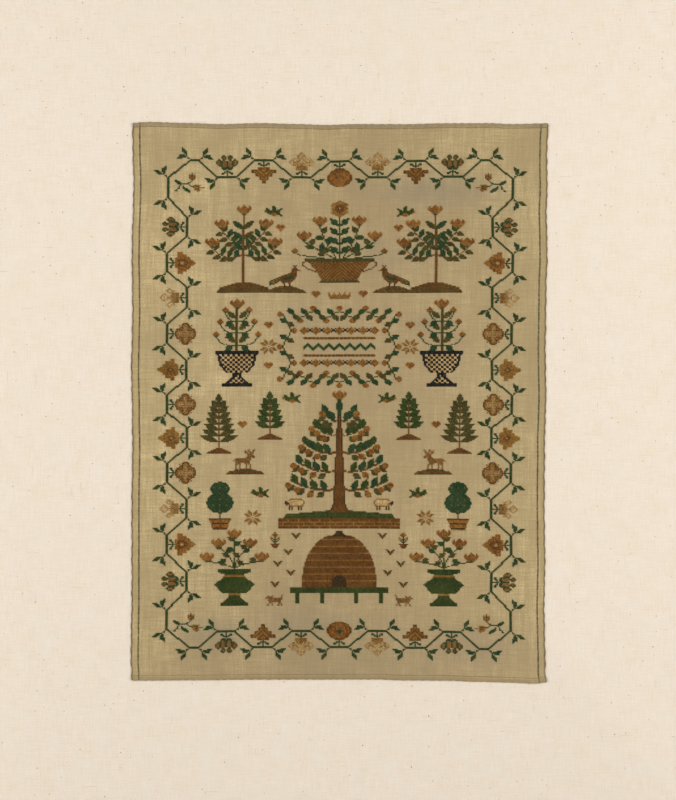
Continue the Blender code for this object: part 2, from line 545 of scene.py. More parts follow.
# Unbleached cotton: warm off-white and dull, its weave no more than a faint grain
CALICO_FINISH = WovenCloth(
    "unbleached_plain_weave_calico",
    colour="f5e8d8",
    streak="dcccb4",
    roughness=0.92,
    warp_pitch=0.42 * MM,
    weft_pitch=0.45 * MM,
    streak_width=1.1 * MM,
    streak_length=13 * MM,
    streak_share=0.42,
    grain_share=0.42,
    cloud="e9dcc4",
    cloud_size=90 * MM,
    cloud_share=0.35,
    tint="ede4d8",
    tint_size=14 * MM,
    tint_share=0.45,
)
# Bits of the cotton's seed coat, from brown to nearly the cloth's own colour: dull dark specks
HUSK_FINISH = SpunThread("cotton_seed_husk", colour="6a4a2a", faded="c2a67e", roughness=0.8, skein=30 * MM)
# Cotton threads spun too thick: soft ribs a shade darker than the cloth
SLUB_FINISH = SpunThread("thick_cotton_slub", colour="dccbb0", faded="eadec9", roughness=0.9)
# Undyed linen sewing thread: pale and waxy
LINEN_FINISH = SpunThread("linen_sewing_thread", colour="75694c", faded="b5a98a", roughness=0.75)
# The dark outer threads of the loom's selvedge, rubbed pale in places
SELVEDGE_FINISH = SpunThread("dark_selvedge_thread", colour="352b1a", faded="6e5c3c", roughness=0.85)
# Grey-white board of pressed pulp: dull and faintly mottled
CARD_FINISH = PulpCard("pressed_pulp_mount_card", colour="bdb8ae", roughness=0.85)
# Matt paint with no pattern of its own, which only has to be pale
FLOOR_FINISH = Finish("matt_painted_table", colour="cfcdc9", roughness=1.0, shine=0.05)


# ---------------------------------------------------------------- how the cloth lies


@dataclass(frozen=True)
class Ridge:
    """A soft ridge in the cloth: its middle, half length, half width, turn from +X and height.

    Lengths are in millimetres and the turn is in degrees. The ridge fades over its half length and width.
    """

    x: float
    y: float
    half_length: float
    half_width: float
    turn: float
    height: float


# How far each edge strays outward at places along it, as (along, drift) in millimetres
TOP_EDGE = (
    (-158, 1.2), (-145, 1.8), (-117, 1.1), (-90, 0.2), (-58, 0.9), (-35, 0.2), (-8, -0.5), (12, 0.2),
    (48, 0.1), (84, 0.8), (112, 0.9), (130, 0.2), (158, 0.8),
)
BOTTOM_EDGE = (
    (-158, -0.3), (-108, -0.6), (-62, -1.1), (29, -1.2), (48, -0.5), (84, -0.3), (102, 0.5), (129, 1.1),
    (148, 1.9), (158, 1.1),
)
LEFT_EDGE = (
    (-212, 0.4), (-196, 0.9), (-143, 0.3), (-79, 0.3), (-36, -0.3), (-4, 0), (22, 0.6), (70, -0.3),
    (112, 0.1), (166, -1.2), (196, -0.4), (212, -0.5),
)
RIGHT_EDGE = (
    (-212, 0.5), (-204, -0.5), (-153, -1.3), (-121, -0.7), (-79, -1.2), (-30, -0.9), (6, 0.1),
    (38, -0.4), (81, 0.1), (113, 1), (144, 0.4), (166, 1.1), (180, 0.7), (198, 1.1), (212, 1.9),
)
RIDGES = tuple(Ridge(*row) for row in (
    (-72, 186, 30, 6, 88, 0.5), (-38, 190, 26, 5, 93, 0.6), (2, 188, 30, 7, 90, 0.7),
    (38, 192, 24, 5, 86, 0.5), (76, 184, 34, 7, 92, 0.6), (112, 176, 36, 9, 80, 0.5),
    (96, 120, 44, 14, 62, 0.6), (-70, 58, 70, 7, 2, 0.5), (84, 60, 60, 8, -3, 0.6),
    (-128, 20, 80, 9, 88, 0.5), (128, -20, 90, 10, 91, 0.5), (0, 6, 46, 16, 8, 0.6),
    (-96, -66, 54, 14, -24, 0.5), (88, -96, 60, 15, 20, 0.5), (0, -120, 80, 12, 1, 0.5),
    (-104, -176, 42, 11, 38, 0.6), (104, -178, 40, 12, -34, 0.7), (6, -192, 70, 6, 0, 0.4),
    (146, -200, 22, 7, 90, 0.5), (-148, 120, 60, 7, 90, 0.4),
))


@dataclass(frozen=True)
class ClothLay:
    """How the sampler's cloth lies: it turns flat places on the cloth into points over the mount.

    A flat place is (right, up) in metres from the cloth's middle. The edges stray and the ridges rise as
    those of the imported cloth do, and seat is that cloth's underside at its lowest. The sides are drawn in
    to scallops by the mounting stitches and the hems pucker; both die out fast away from the rim.
    """

    seat: float
    width: float = 314 * MM
    height: float = 422.8 * MM
    middle: Place = (0.8 * MM, -2 * MM)
    edge_sink: float = 0.2 * MM
    edge_sink_reach: float = 9 * MM
    scallop: float = 0.2 * MM
    scallop_pitch: float = 9.2 * MM
    scallop_wander: float = 23 * MM
    scallop_sway: float = 2.3
    long_scallop: float = 2.7
    long_scallop_share: float = 0.6
    side_fall: int = 40
    pucker: float = 0.22 * MM
    pucker_pitch: float = 6.4 * MM
    pucker_wander: float = 17 * MM
    pucker_sway: float = 2.0
    hem_fall: int = 60

    @staticmethod
    def drift(points: tuple[Place, ...], along: np.ndarray) -> np.ndarray:
        """Eases an edge's drift between its points.

        Args:
            points: The edge's (along, drift) points.
            along: Places along the edge, in metres.

        Returns:
            The drift at each place, in metres.
        """
        places, drifts = np.array(points).T * MM
        after = np.clip(np.searchsorted(places, along), 1, len(places) - 1)
        share = (along - places[after - 1]) / (places[after] - places[after - 1])
        eased = (1 - np.cos(np.pi * np.clip(share, 0, 1))) / 2
        return drifts[after - 1] + (drifts[after] - drifts[after - 1]) * eased

    @staticmethod
    def lift(x: np.ndarray, y: np.ndarray) -> np.ndarray:
        """Adds up the ridges' heights.

        Args:
            x: Places over the mount, in metres to the right of its middle.
            y: The same places, in metres up from it.

        Returns:
            The height at each place, in metres.
        """
        height = np.zeros_like(x)
        for ridge in RIDGES:
            turn = math.radians(ridge.turn)
            dx, dy = x / MM - ridge.x, y / MM - ridge.y
            along = (dx * math.cos(turn) + dy * math.sin(turn)) / ridge.half_length
            across = (dy * math.cos(turn) - dx * math.sin(turn)) / ridge.half_width
            height += ridge.height * np.exp(-(along ** 2 + across ** 2))
        return height * MM

    def points(self, right: np.ndarray, up: np.ndarray, above: float | np.ndarray = 0.0) -> np.ndarray:
        """Finds where flat places of the cloth lie.

        Args:
            right: The places' distances to the right of the cloth's middle.
            up: Their distances up from it.
            above: How far over the cloth's underside the points are.

        Returns:
            One row of x, y and z for each place.
        """
        across = right / self.width + 0.5
        share_up = up / self.height + 0.5
        x = right + self.middle[0] + self.drift(RIGHT_EDGE, up) * across ** 3
        x -= self.drift(LEFT_EDGE, up) * (1 - across) ** 3
        y = up + self.middle[1] + self.drift(TOP_EDGE, right) * share_up ** 3
        y -= self.drift(BOTTOM_EDGE, right) * (1 - share_up) ** 3
        rim = np.clip(np.abs(2 * across - 1), 0, 1) ** self.side_fall
        # Two waves of unlike length, the first of them wandering, so that no scallop repeats
        sway = self.scallop_sway * np.sin(up / self.scallop_wander)
        wave = np.sin(math.tau * up / self.scallop_pitch + sway)
        wave += self.long_scallop_share * np.sin(math.tau * up / (self.long_scallop * self.scallop_pitch))
        x += self.scallop * rim * wave * np.sign(across - 0.5)
        hem = np.clip(np.abs(2 * share_up - 1), 0, 1) ** self.hem_fall
        sway = self.pucker_sway * np.sin(right / self.pucker_wander)
        y += self.pucker * hem * np.sin(math.tau * right / self.pucker_pitch + sway)
        inside = np.minimum(self.width / 2 - np.abs(right), self.height / 2 - np.abs(up))
        sunk = self.edge_sink * np.exp(-np.maximum(inside, 0) / self.edge_sink_reach)
        z = self.seat + self.lift(x, y) - sunk + above
        return np.stack([x, y, z], axis=-1)

    def normals(self, right: np.ndarray, up: np.ndarray) -> np.ndarray:
        """Finds which way the cloth faces.

        Args:
            right: The flat places' distances to the right of the cloth's middle.
            up: Their distances up from it.

        Returns:
            One row for each place: the cloth's upward normal.
        """
        step = 1 * MM
        here = self.points(right, up)
        rightward = self.points(right + step, up) - here
        upward = self.points(right, up + step) - here
        normal = np.cross(rightward, upward)
        return normal / np.linalg.norm(normal, axis=1, keepdims=True)


# ---------------------------------------------------------------- geometry trees


def new_tree(name: str, **inputs: tuple[str, object]) -> tuple[NodeTree, Node]:
    """Starts a geometry tree that takes a Geometry, some named inputs and a Material.

    Args:
        name: The tree's name.
        inputs: For each named input, the kind of its socket and its default value.

    Returns:
        The tree and its group input node.
    """
    tree = bpy.data.node_groups.new(name, "GeometryNodeTree")
    sockets = {"Geometry": ("Geometry", None), **inputs, "Material": ("Material", None)}
    for label, (kind, value) in sockets.items():
        socket = tree.interface.new_socket(label, in_out="INPUT", socket_type="NodeSocket" + kind)
        if value is not None:
            socket.default_value = value
    tree.interface.new_socket("Geometry", in_out="OUTPUT", socket_type="NodeSocketGeometry")
    return tree, add(tree, "NodeGroupInput")


def end_tree(tree: NodeTree, geometry: Source, shade: Source, domain: str,
             material: Source) -> None:
    """Ends a tree: its shades stored, instances made real, shaded smooth and given their material.

    Args:
        tree: The tree.
        geometry: The source of what the tree has built.
        shade: The source of the shades, from 0 for the deep colour of a thread to 1 for its faded one.
        domain: What has a shade of its own: "INSTANCE" or "POINT".
        material: The source of the material.
    """
    stored = add(tree, "GeometryNodeStoreNamedAttribute", {
        "Geometry": geometry, "Name": SHADE, "Value": shade,
    }, data_type="FLOAT", domain=domain)
    real = add(tree, "GeometryNodeRealizeInstances", {"Geometry": stored})
    shaded = add(tree, "GeometryNodeSetShadeSmooth", {"Geometry": real, "Shade Smooth": True})
    dressed = add(tree, "GeometryNodeSetMaterial", {"Geometry": shaded, "Material": material})
    add(tree, "NodeGroupOutput", {"Geometry": dressed})


def run_tree(tree: NodeTree, mesh: Mesh, name: str, **values: object) -> Object:
    """Runs a geometry tree on a mesh and keeps the result as a plain piece.

    Args:
        tree: The tree.
        mesh: The mesh that it works on.
        name: The finished piece's name.
        values: The tree's input values.

    Returns:
        The finished piece.
    """
    host = show(mesh, name + "_host")
    modifier = host.modifiers.new(tree.name, "NODES")
    modifier.node_group = tree
    sockets = {s.name: s.identifier for s in tree.interface.items_tree if s.in_out == "INPUT"}
    for label, value in values.items():
        modifier[sockets[label]] = value
    return finished(host, name)


class StitchTree:
    """The tree that works a stitch on every point: one slanting arm of thread, or two that cross.

    An arm is a closed spindle of three sides that arches over the cloth and goes down into it at both
    ends. The second arm of a cross lies on the first and hides its middle, so the first has one ring
    the fewer and is a little stouter.
    """

    whole_points: int = 4
    hidden_points: int = 3
    hidden_girth: float = 1.25
    sides: int = 3
    end_share: float = 0.2
    flatness: float = 0.75
    weld: float = 0.001 * MM

    def __init__(self) -> None:
        """Builds the tree."""
        self.tree, group = new_tree(
            "stitches",
            Reach=("Vector", (0.5 * MM, 0.44 * MM, 0.0)),
            Radius=("Float", 0.23 * MM),
            Arch=("Float", 0.12 * MM),
            Crossed=("Bool", True),
            Jitter=("Float", 0.04 * MM),
            Wobble=("Float", 0.07),
            Unevenness=("Float", 0.06),
            Seed=("Int", SEED),
        )
        self.given = given = group.outputs
        single = self.arm(1, given["Arch"], self.whole_points, 1.0)
        under = self.arm(1, given["Arch"], self.hidden_points, self.hidden_girth)
        raised = add(self.tree, "ShaderNodeMath", {0: given["Arch"], 1: given["Radius"]}, operation="ADD")
        over = self.arm(-1, raised, self.whole_points, 1.0)
        cross = add(self.tree, "GeometryNodeJoinGeometry", {0: over})
        feed(self.tree, cross, {0: under})
        stitch = add(self.tree, "GeometryNodeSwitch", {
            "Switch": given["Crossed"], "False": single, "True": cross,
        }, input_type="GEOMETRY")
        self.set_on_points(stitch)

    def arm(self, rise: int, arch: Source, points: int, girth: float) -> Source:
        """Builds one arm of thread.

        Args:
            rise: 1 if the arm rises to the right and -1 if it falls.
            arch: The height of its middle over the cloth.
            points: How many points it has along it, with its two ends.
            girth: Its thickness as a share of the thread's.

        Returns:
            The source of the arm's mesh.
        """
        tree, given = self.tree, self.given
        line = add(tree, "GeometryNodeCurvePrimitiveLine")
        curve = add(tree, "GeometryNodeResampleCurve", {"Curve": line, "Count": points}, mode="COUNT")
        share = add(tree, "GeometryNodeSplineParameter")
        from_middle = add(tree, "ShaderNodeMapRange", {
            "Value": share, "From Min": self.end_share, "From Max": 1 - self.end_share,
            "To Min": -1.0, "To Max": 1.0,
        })
        squared = add(tree, "ShaderNodeMath", {0: from_middle, 1: from_middle}, operation="MULTIPLY")
        bow = add(tree, "ShaderNodeMath", {0: 1.0, 1: squared}, operation="SUBTRACT")
        rounded = add(tree, "ShaderNodeMath", {0: bow}, operation="SQRT")
        fullness = add(tree, "ShaderNodeMath", {0: rounded, 1: girth}, operation="MULTIPLY")
        height = add(tree, "ShaderNodeMath", {0: bow, 1: arch}, operation="MULTIPLY")
        way = (1.0, rise, 0.0)
        end = add(tree, "ShaderNodeVectorMath", {0: given["Reach"], 1: way}, operation="MULTIPLY")
        place = add(tree, "ShaderNodeVectorMath", {0: end, "Scale": from_middle}, operation="SCALE")
        lifted = add(tree, "ShaderNodeCombineXYZ", {2: height})
        curve = add(tree, "GeometryNodeSetPosition", {"Geometry": curve, "Position": place, "Offset": lifted})
        curve = add(tree, "GeometryNodeSetCurveNormal", {"Curve": curve}, mode="Z_UP")
        ring = add(tree, "GeometryNodeCurvePrimitiveCircle", {
            "Resolution": self.sides, "Radius": given["Radius"],
        })
        ring = add(tree, "GeometryNodeTransform", {
            "Geometry": ring, "Rotation": (0.0, 0.0, QUARTER_TURN), "Scale": (1.0, self.flatness, 1.0),
        })
        tube = add(tree, "GeometryNodeCurveToMesh", {
            "Curve": curve, "Profile Curve": ring, "Scale": fullness,
        })
        return add(tree, "GeometryNodeMergeByDistance", {"Geometry": tube, "Distance": self.weld})

    def set_on_points(self, stitch: Source) -> None:
        """Puts the stitch on every point, a little off its place and turn, with a shade of its own.

        Args:
            stitch: The source of the stitch's mesh.
        """
        tree, given = self.tree, self.given
        loose = add(tree, "FunctionNodeRandomValue", {
            0: (-1.0, -1.0, -1.0), 1: (1.0, 1.0, 1.0), "Seed": given["Seed"],
        }, data_type="FLOAT_VECTOR")
        offset = add(tree, "ShaderNodeVectorMath", {0: loose, "Scale": given["Jitter"]}, operation="SCALE")
        points = add(tree, "GeometryNodeSetPosition", {"Geometry": given["Geometry"], "Offset": offset})
        sway, growth = (
            add(tree, "FunctionNodeRandomValue", {2: -1.0, 3: 1.0, "Seed": seed}, data_type="FLOAT")
            for seed in (SEED + 1, SEED + 2)
        )
        lie = add(tree, "GeometryNodeInputNamedAttribute", {"Name": NORMAL}, data_type="FLOAT_VECTOR")
        angle = add(tree, "ShaderNodeMath", {0: sway, 1: given["Wobble"]}, operation="MULTIPLY")
        spin = add(tree, "FunctionNodeAxisAngleToRotation", {"Axis": (0.0, 0.0, 1.0), "Angle": angle})
        upright = add(tree, "FunctionNodeAlignRotationToVector", {"Vector": lie}, axis="Z")
        rotation = add(tree, "FunctionNodeRotateRotation", {
            "Rotation": upright, "Rotate By": spin,
        }, rotation_space="LOCAL")
        size = add(tree, "ShaderNodeMath", {
            0: growth, 1: given["Unevenness"], 2: 1.0,
        }, operation="MULTIPLY_ADD")
        placed = add(tree, "GeometryNodeInstanceOnPoints", {
            "Points": points, "Instance": stitch, "Rotation": rotation, "Scale": size,
        })
        shade = add(tree, "FunctionNodeRandomValue", {"Seed": given["Seed"]}, data_type="FLOAT")
        end_tree(tree, placed, shade, "INSTANCE", given["Material"])

    def work(self, name: str, places: np.ndarray, normals: np.ndarray, thread: SpunThread,
             **sizes: object) -> Object:
        """Works a stitch on every place, and hands the finished piece to the frame.

        Args:
            name: The piece's name.
            places: One row of x, y and z for each stitch.
            normals: The way each stitch faces.
            thread: The thread.
            sizes: The tree's other input values.

        Returns:
            The finished piece.
        """
        mesh = bpy.data.meshes.new(name + "_places")
        mesh.vertices.add(len(places))
        mesh.vertices.foreach_set("co", places.astype(np.float32).ravel())
        lie = mesh.attributes.new(NORMAL, "FLOAT_VECTOR", "POINT")
        lie.data.foreach_set("vector", normals.astype(np.float32).ravel())
        piece = run_tree(self.tree, mesh, name, Material=thread.material(), **sizes)
        return deliver(piece, "sampler_ground")


class ScatterTree:
    """The tree that strews small spindles over a surface: the husks and thick threads of raw cotton."""

    least_size: tuple[float, ...] = (0.45, 0.5, 0.8)
    most_size: tuple[float, ...] = (1.5, 1.3, 1.1)

    def __init__(self) -> None:
        """Builds the tree."""
        self.tree, group = new_tree(
            "scatter",
            Density=("Float", 1000.0),
            Length=("Float", 1 * MM),
            Width=("Float", 0.5 * MM),
            Depth=("Float", 0.2 * MM),
            Directions=("Int", 12),
            Seed=("Int", SEED),
        )
        tree, given = self.tree, group.outputs
        spread = add(tree, "GeometryNodeDistributePointsOnFaces", {
            "Mesh": given["Geometry"], "Density": given["Density"], "Seed": given["Seed"],
        }, distribute_method="RANDOM")
        size = add(tree, "ShaderNodeCombineXYZ", {0: given["Length"], 1: given["Width"], 2: given["Depth"]})
        half = add(tree, "ShaderNodeVectorMath", {0: size, "Scale": 0.5}, operation="SCALE")
        grain = add(tree, "GeometryNodeMeshIcoSphere", {"Radius": 1.0, "Subdivisions": 1})
        spindle = add(tree, "GeometryNodeTransform", {"Geometry": grain, "Scale": half})
        last = add(tree, "ShaderNodeMath", {0: given["Directions"], 1: 1.0}, operation="SUBTRACT")
        pick = add(tree, "FunctionNodeRandomValue", {4: 0, 5: last, "Seed": given["Seed"]}, data_type="INT")
        way = add(tree, "ShaderNodeMath", {0: pick, 1: given["Directions"]}, operation="DIVIDE")
        angle = add(tree, "ShaderNodeMath", {0: way, 1: math.pi}, operation="MULTIPLY")
        rotation = add(tree, "ShaderNodeCombineXYZ", {2: angle})
        scale = add(tree, "FunctionNodeRandomValue", {
            0: self.least_size, 1: self.most_size, "Seed": given["Seed"],
        }, data_type="FLOAT_VECTOR")
        placed = add(tree, "GeometryNodeInstanceOnPoints", {
            "Points": spread, "Instance": spindle, "Rotation": rotation, "Scale": scale,
        })
        shade = add(tree, "FunctionNodeRandomValue", {"Seed": given["Seed"]}, data_type="FLOAT")
        end_tree(tree, placed, shade, "INSTANCE", given["Material"])


class ThreadTree:
    """The tree that lays an uneven round thread along a line of joined points."""

    thinnest: float = 0.5

    def __init__(self) -> None:
        """Builds the tree."""
        self.tree, group = new_tree(
            "laid_thread",
            Radius=("Float", 0.3 * MM),
            Knobble=("Float", 3 * MM),
            Sides=("Int", 6),
        )
        tree, given = self.tree, group.outputs
        curve = add(tree, "GeometryNodeMeshToCurve", {"Mesh": given["Geometry"]})
        scale = add(tree, "ShaderNodeMath", {0: 1.0, 1: given["Knobble"]}, operation="DIVIDE")
        knobs = add(tree, "ShaderNodeTexNoise", {"Scale": scale, "Detail": 1.0})
        fat = add(tree, "ShaderNodeMath", {0: knobs, 1: self.thinnest}, operation="ADD")
        ring = add(tree, "GeometryNodeCurvePrimitiveCircle", {
            "Resolution": given["Sides"], "Radius": given["Radius"],
        })
        tube = add(tree, "GeometryNodeCurveToMesh", {
            "Curve": curve, "Profile Curve": ring, "Scale": fat, "Fill Caps": True,
        })
        end_tree(tree, tube, knobs, "POINT", given["Material"])


# ---------------------------------------------------------------- the mount


@dataclass(frozen=True)
class Flecks:
    """Small spindles strewn over the calico.

    Density is how many lie on a square metre, directions is how many ways they may point, and inset is
    how far inside the face's rim they are strewn.
    """

    name: str
    thread: SpunThread
    density: float
    length: float
    width: float
    depth: float
    directions: int
    seed: int
    inset: float


HUSKS = Flecks("calico_husks", HUSK_FINISH, 2100.0, 0.95 * MM, 0.6 * MM, 0.2 * MM, 12, SEED, 1 * MM)
SLUBS = Flecks("calico_slubs", SLUB_FINISH, 1100.0, 9 * MM, 0.5 * MM, 0.2 * MM, 2, SEED + 1, 7 * MM)


@dataclass
class Mount:
    """The board and the calico drawn over it, its edges turned in and mitred at the back.

    Sizes that the frame gives are read from it: the outside size and the height of the face. The
    turn-in's cut edge stands off the board by the glued rise, which is half gone and then wholly gone
    at two distances from it.
    """

    low: Vector
    high: Vector
    turn_in: float = 45 * MM
    edge_rounding: float = 2 * MM
    corner_rounding: float = 2.5 * MM
    least_rounding: float = 0.4 * MM
    arc_steps: int = 5
    side_step: float = 12 * MM
    cloth_thickness: float = 0.6 * MM
    glued_rise: float = 0.6 * MM
    half_risen: float = 5 * MM
    fully_down: float = 18 * MM
    mitre_slit: float = 0.8 * MM
    mitre_start: float = 3 * MM
    mitre_overrun: float = 4 * MM
    cutter_height: float = 3 * MM
    crease_angle: float = math.radians(40)

    def outline(self, inset: float) -> list[tuple[Place, Place]]:
        """Walks round the mount at an inset, anticlockwise from the right-hand top corner.

        Args:
            inset: How far inside the mount's outside the line runs.

        Returns:
            For each point, its place and the outward way there.
        """
        half = (self.high.x - inset, self.high.y - inset)
        radius = max(self.corner_rounding - inset, self.least_rounding)
        walk = []
        for quarter, (side, end) in enumerate([(1, 1), (-1, 1), (-1, -1), (1, -1)]):
            centre = (side * (half[0] - radius), end * (half[1] - radius))
            for step in range(self.arc_steps + 1):
                angle = QUARTER_TURN * (quarter + step / self.arc_steps)
                out = (math.cos(angle), math.sin(angle))
                walk.append(((centre[0] + radius * out[0], centre[1] + radius * out[1]), out))
            run = 2 * (half[1] if quarter % 2 else half[0]) - 2 * radius
            steps = int(2 * (self.high.y if quarter % 2 else self.high.x) / self.side_step)
            start = walk[-1][0]
            way = (-walk[-1][1][1], walk[-1][1][0])
            for step in range(1, steps):
                gone = run * step / steps
                walk.append(((start[0] + way[0] * gone, start[1] + way[1] * gone), walk[-1][1]))
        return walk

    def profile(self) -> list[tuple[float, float, float]]:
        """Draws the calico's section from the turn-in's cut edge, round the mount's side, to its face.

        Returns:
            For each step, its inset, its height and how far it is from the face's rim along the cloth.
        """
        r, top, cut = self.edge_rounding, self.high.z, self.turn_in
        angles = [QUARTER_TURN * step / self.arc_steps for step in range(self.arc_steps + 1)]
        section = [(cut, self.glued_rise), (cut - self.half_risen, 0.5 * self.glued_rise)]
        section.append((cut - self.fully_down, 0.0))
        section += [(r - r * math.sin(angle), r - r * math.cos(angle)) for angle in angles]
        section += [(r - r * math.cos(angle), top - r + r * math.sin(angle)) for angle in angles]
        walked = 0.0
        rows = [(*section[-1], 0.0)]
        for here, outer in zip(reversed(section), list(reversed(section))[1:]):
            walked += math.dist(here, outer)
            rows.append((*outer, walked))
        return rows[::-1]

    def calico_mesh(self) -> Mesh:
        """Builds the calico's outer face, open at the back, with its flat cut as its UV map.

        Returns:
            The mesh.
        """
        bm = bmesh.new()
        flat = bm.loops.layers.uv.new(CLOTH_UV)
        places: dict[bmesh.types.BMVert, Place] = {}
        rings = []
        for inset, height, walked in self.profile():
            ring = []
            for (x, y), (out_x, out_y) in self.outline(inset):
                vert = bm.verts.new((x, y, height))
                reach = walked + inset - self.edge_rounding
                places[vert] = (x + out_x * reach, y + out_y * reach)
                ring.append(vert)
            rings.append(ring)
        for lower, upper in zip(rings, rings[1:]):
            for i, vert in enumerate(lower):
                j = (i + 1) % len(lower)
                bm.faces.new((vert, lower[j], upper[j], upper[i]))
        bm.faces.new(rings[-1])
        for face in bm.faces:
            for loop in face.loops:
                loop[flat].uv = places[loop.vert]
            face.smooth = True
        mesh = bpy.data.meshes.new("calico_cover")
        bm.to_mesh(mesh)
        bm.free()
        return mesh

    def mitre_cutter(self, side: int, end: int) -> Object:
        """Makes the thin upright slab that parts the turned-in edges along one back corner's diagonal.

        Args:
            side: 1 for a right-hand corner and -1 for a left-hand one.
            end: 1 for a top corner and -1 for a bottom one.

        Returns:
            The slab.
        """
        inner, outer = self.turn_in + self.mitre_overrun, self.mitre_start
        middle = (inner + outer) / 2
        place = Matrix.Translation((side * (self.high.x - middle), end * (self.high.y - middle), 0))
        turn = Matrix.Rotation(math.radians(45) * side * end, 4, "Z")
        size = Matrix.Diagonal(((inner - outer) * math.sqrt(2), self.mitre_slit, self.cutter_height, 1))
        mesh = bpy.data.meshes.new("mitre_cutter")
        bm = bmesh.new()
        bmesh.ops.create_cube(bm, size=1, matrix=place @ turn @ size)
        bm.to_mesh(mesh)
        bm.free()
        return show(mesh, "mitre_cutter")

    def build_calico(self) -> Object:
        """Builds the calico cover with its thickness and its four mitre slits.

        Returns:
            The finished piece.
        """
        host = show(self.calico_mesh(), "calico_host")
        host.data.materials.append(CALICO_FINISH.material())
        shell = host.modifiers.new("thickness", "SOLIDIFY")
        shell.thickness = self.cloth_thickness
        shell.offset = -1
        cutters = [self.mitre_cutter(side, end) for side in (1, -1) for end in (1, -1)]
        for cutter in cutters:
            cut = host.modifiers.new("mitre", "BOOLEAN")
            cut.operation = "DIFFERENCE"
            cut.object = cutter
        cover = finished(host, "calico_cover")
        for cutter in cutters:
            bpy.data.objects.remove(cutter)
        cover.data.set_sharp_from_angle(angle=self.crease_angle)
        return cover

    def face_mesh(self, hole_low: Vector, hole_high: Vector, inset: float) -> Mesh:
        """Makes the part of the face that shows round the sampler, as four rectangles.

        Args:
            hole_low: The lowest corner of the place that the sampler covers.
            hole_high: Its highest corner.
            inset: How far inside the face's rim it ends.

        Returns:
            The mesh.
        """
        rim = self.edge_rounding + inset
        left, right = self.low.x + rim, self.high.x - rim
        bottom, top = self.low.y + rim, self.high.y - rim
        sides = (
            (left, right, hole_high.y, top), (left, right, bottom, hole_low.y),
            (left, hole_low.x, hole_low.y, hole_high.y), (hole_high.x, right, hole_low.y, hole_high.y),
        )
        places = [
            (x, y, self.high.z)
            for x0, x1, y0, y1 in sides
            for x, y in ((x0, y0), (x1, y0), (x1, y1), (x0, y1))
        ]
        faces = [tuple(range(first, first + 4)) for first in range(0, len(places), 4)]
        mesh = bpy.data.meshes.new("calico_face")
        mesh.from_pydata(places, [], faces)
        return mesh

    def build(self, nodes: dict[str, Object], hole: tuple[Vector, Vector]) -> None:
        """Dresses the board and adds the calico with its husks and thick threads.

        Args:
            nodes: The frame's nodes.
            hole: The lowest and highest corner of the place that the sampler covers.
        """
        board = nodes["mount_board"]
        board.data.materials.clear()
        board.data.materials.append(CARD_FINISH.material())
        cover = deliver(self.build_calico(), "calico", "mount_cover")
        scatter = ScatterTree().tree
        for flecks in (HUSKS, SLUBS):
            deliver(run_tree(
                scatter, self.face_mesh(*hole, flecks.inset), flecks.name, Density=flecks.density,
                Length=flecks.length, Width=flecks.width, Depth=flecks.depth,
                Directions=flecks.directions, Seed=flecks.seed, Material=flecks.thread.material(),
            ), "calico")


# ---------------------------------------------------------------- the ground cloth


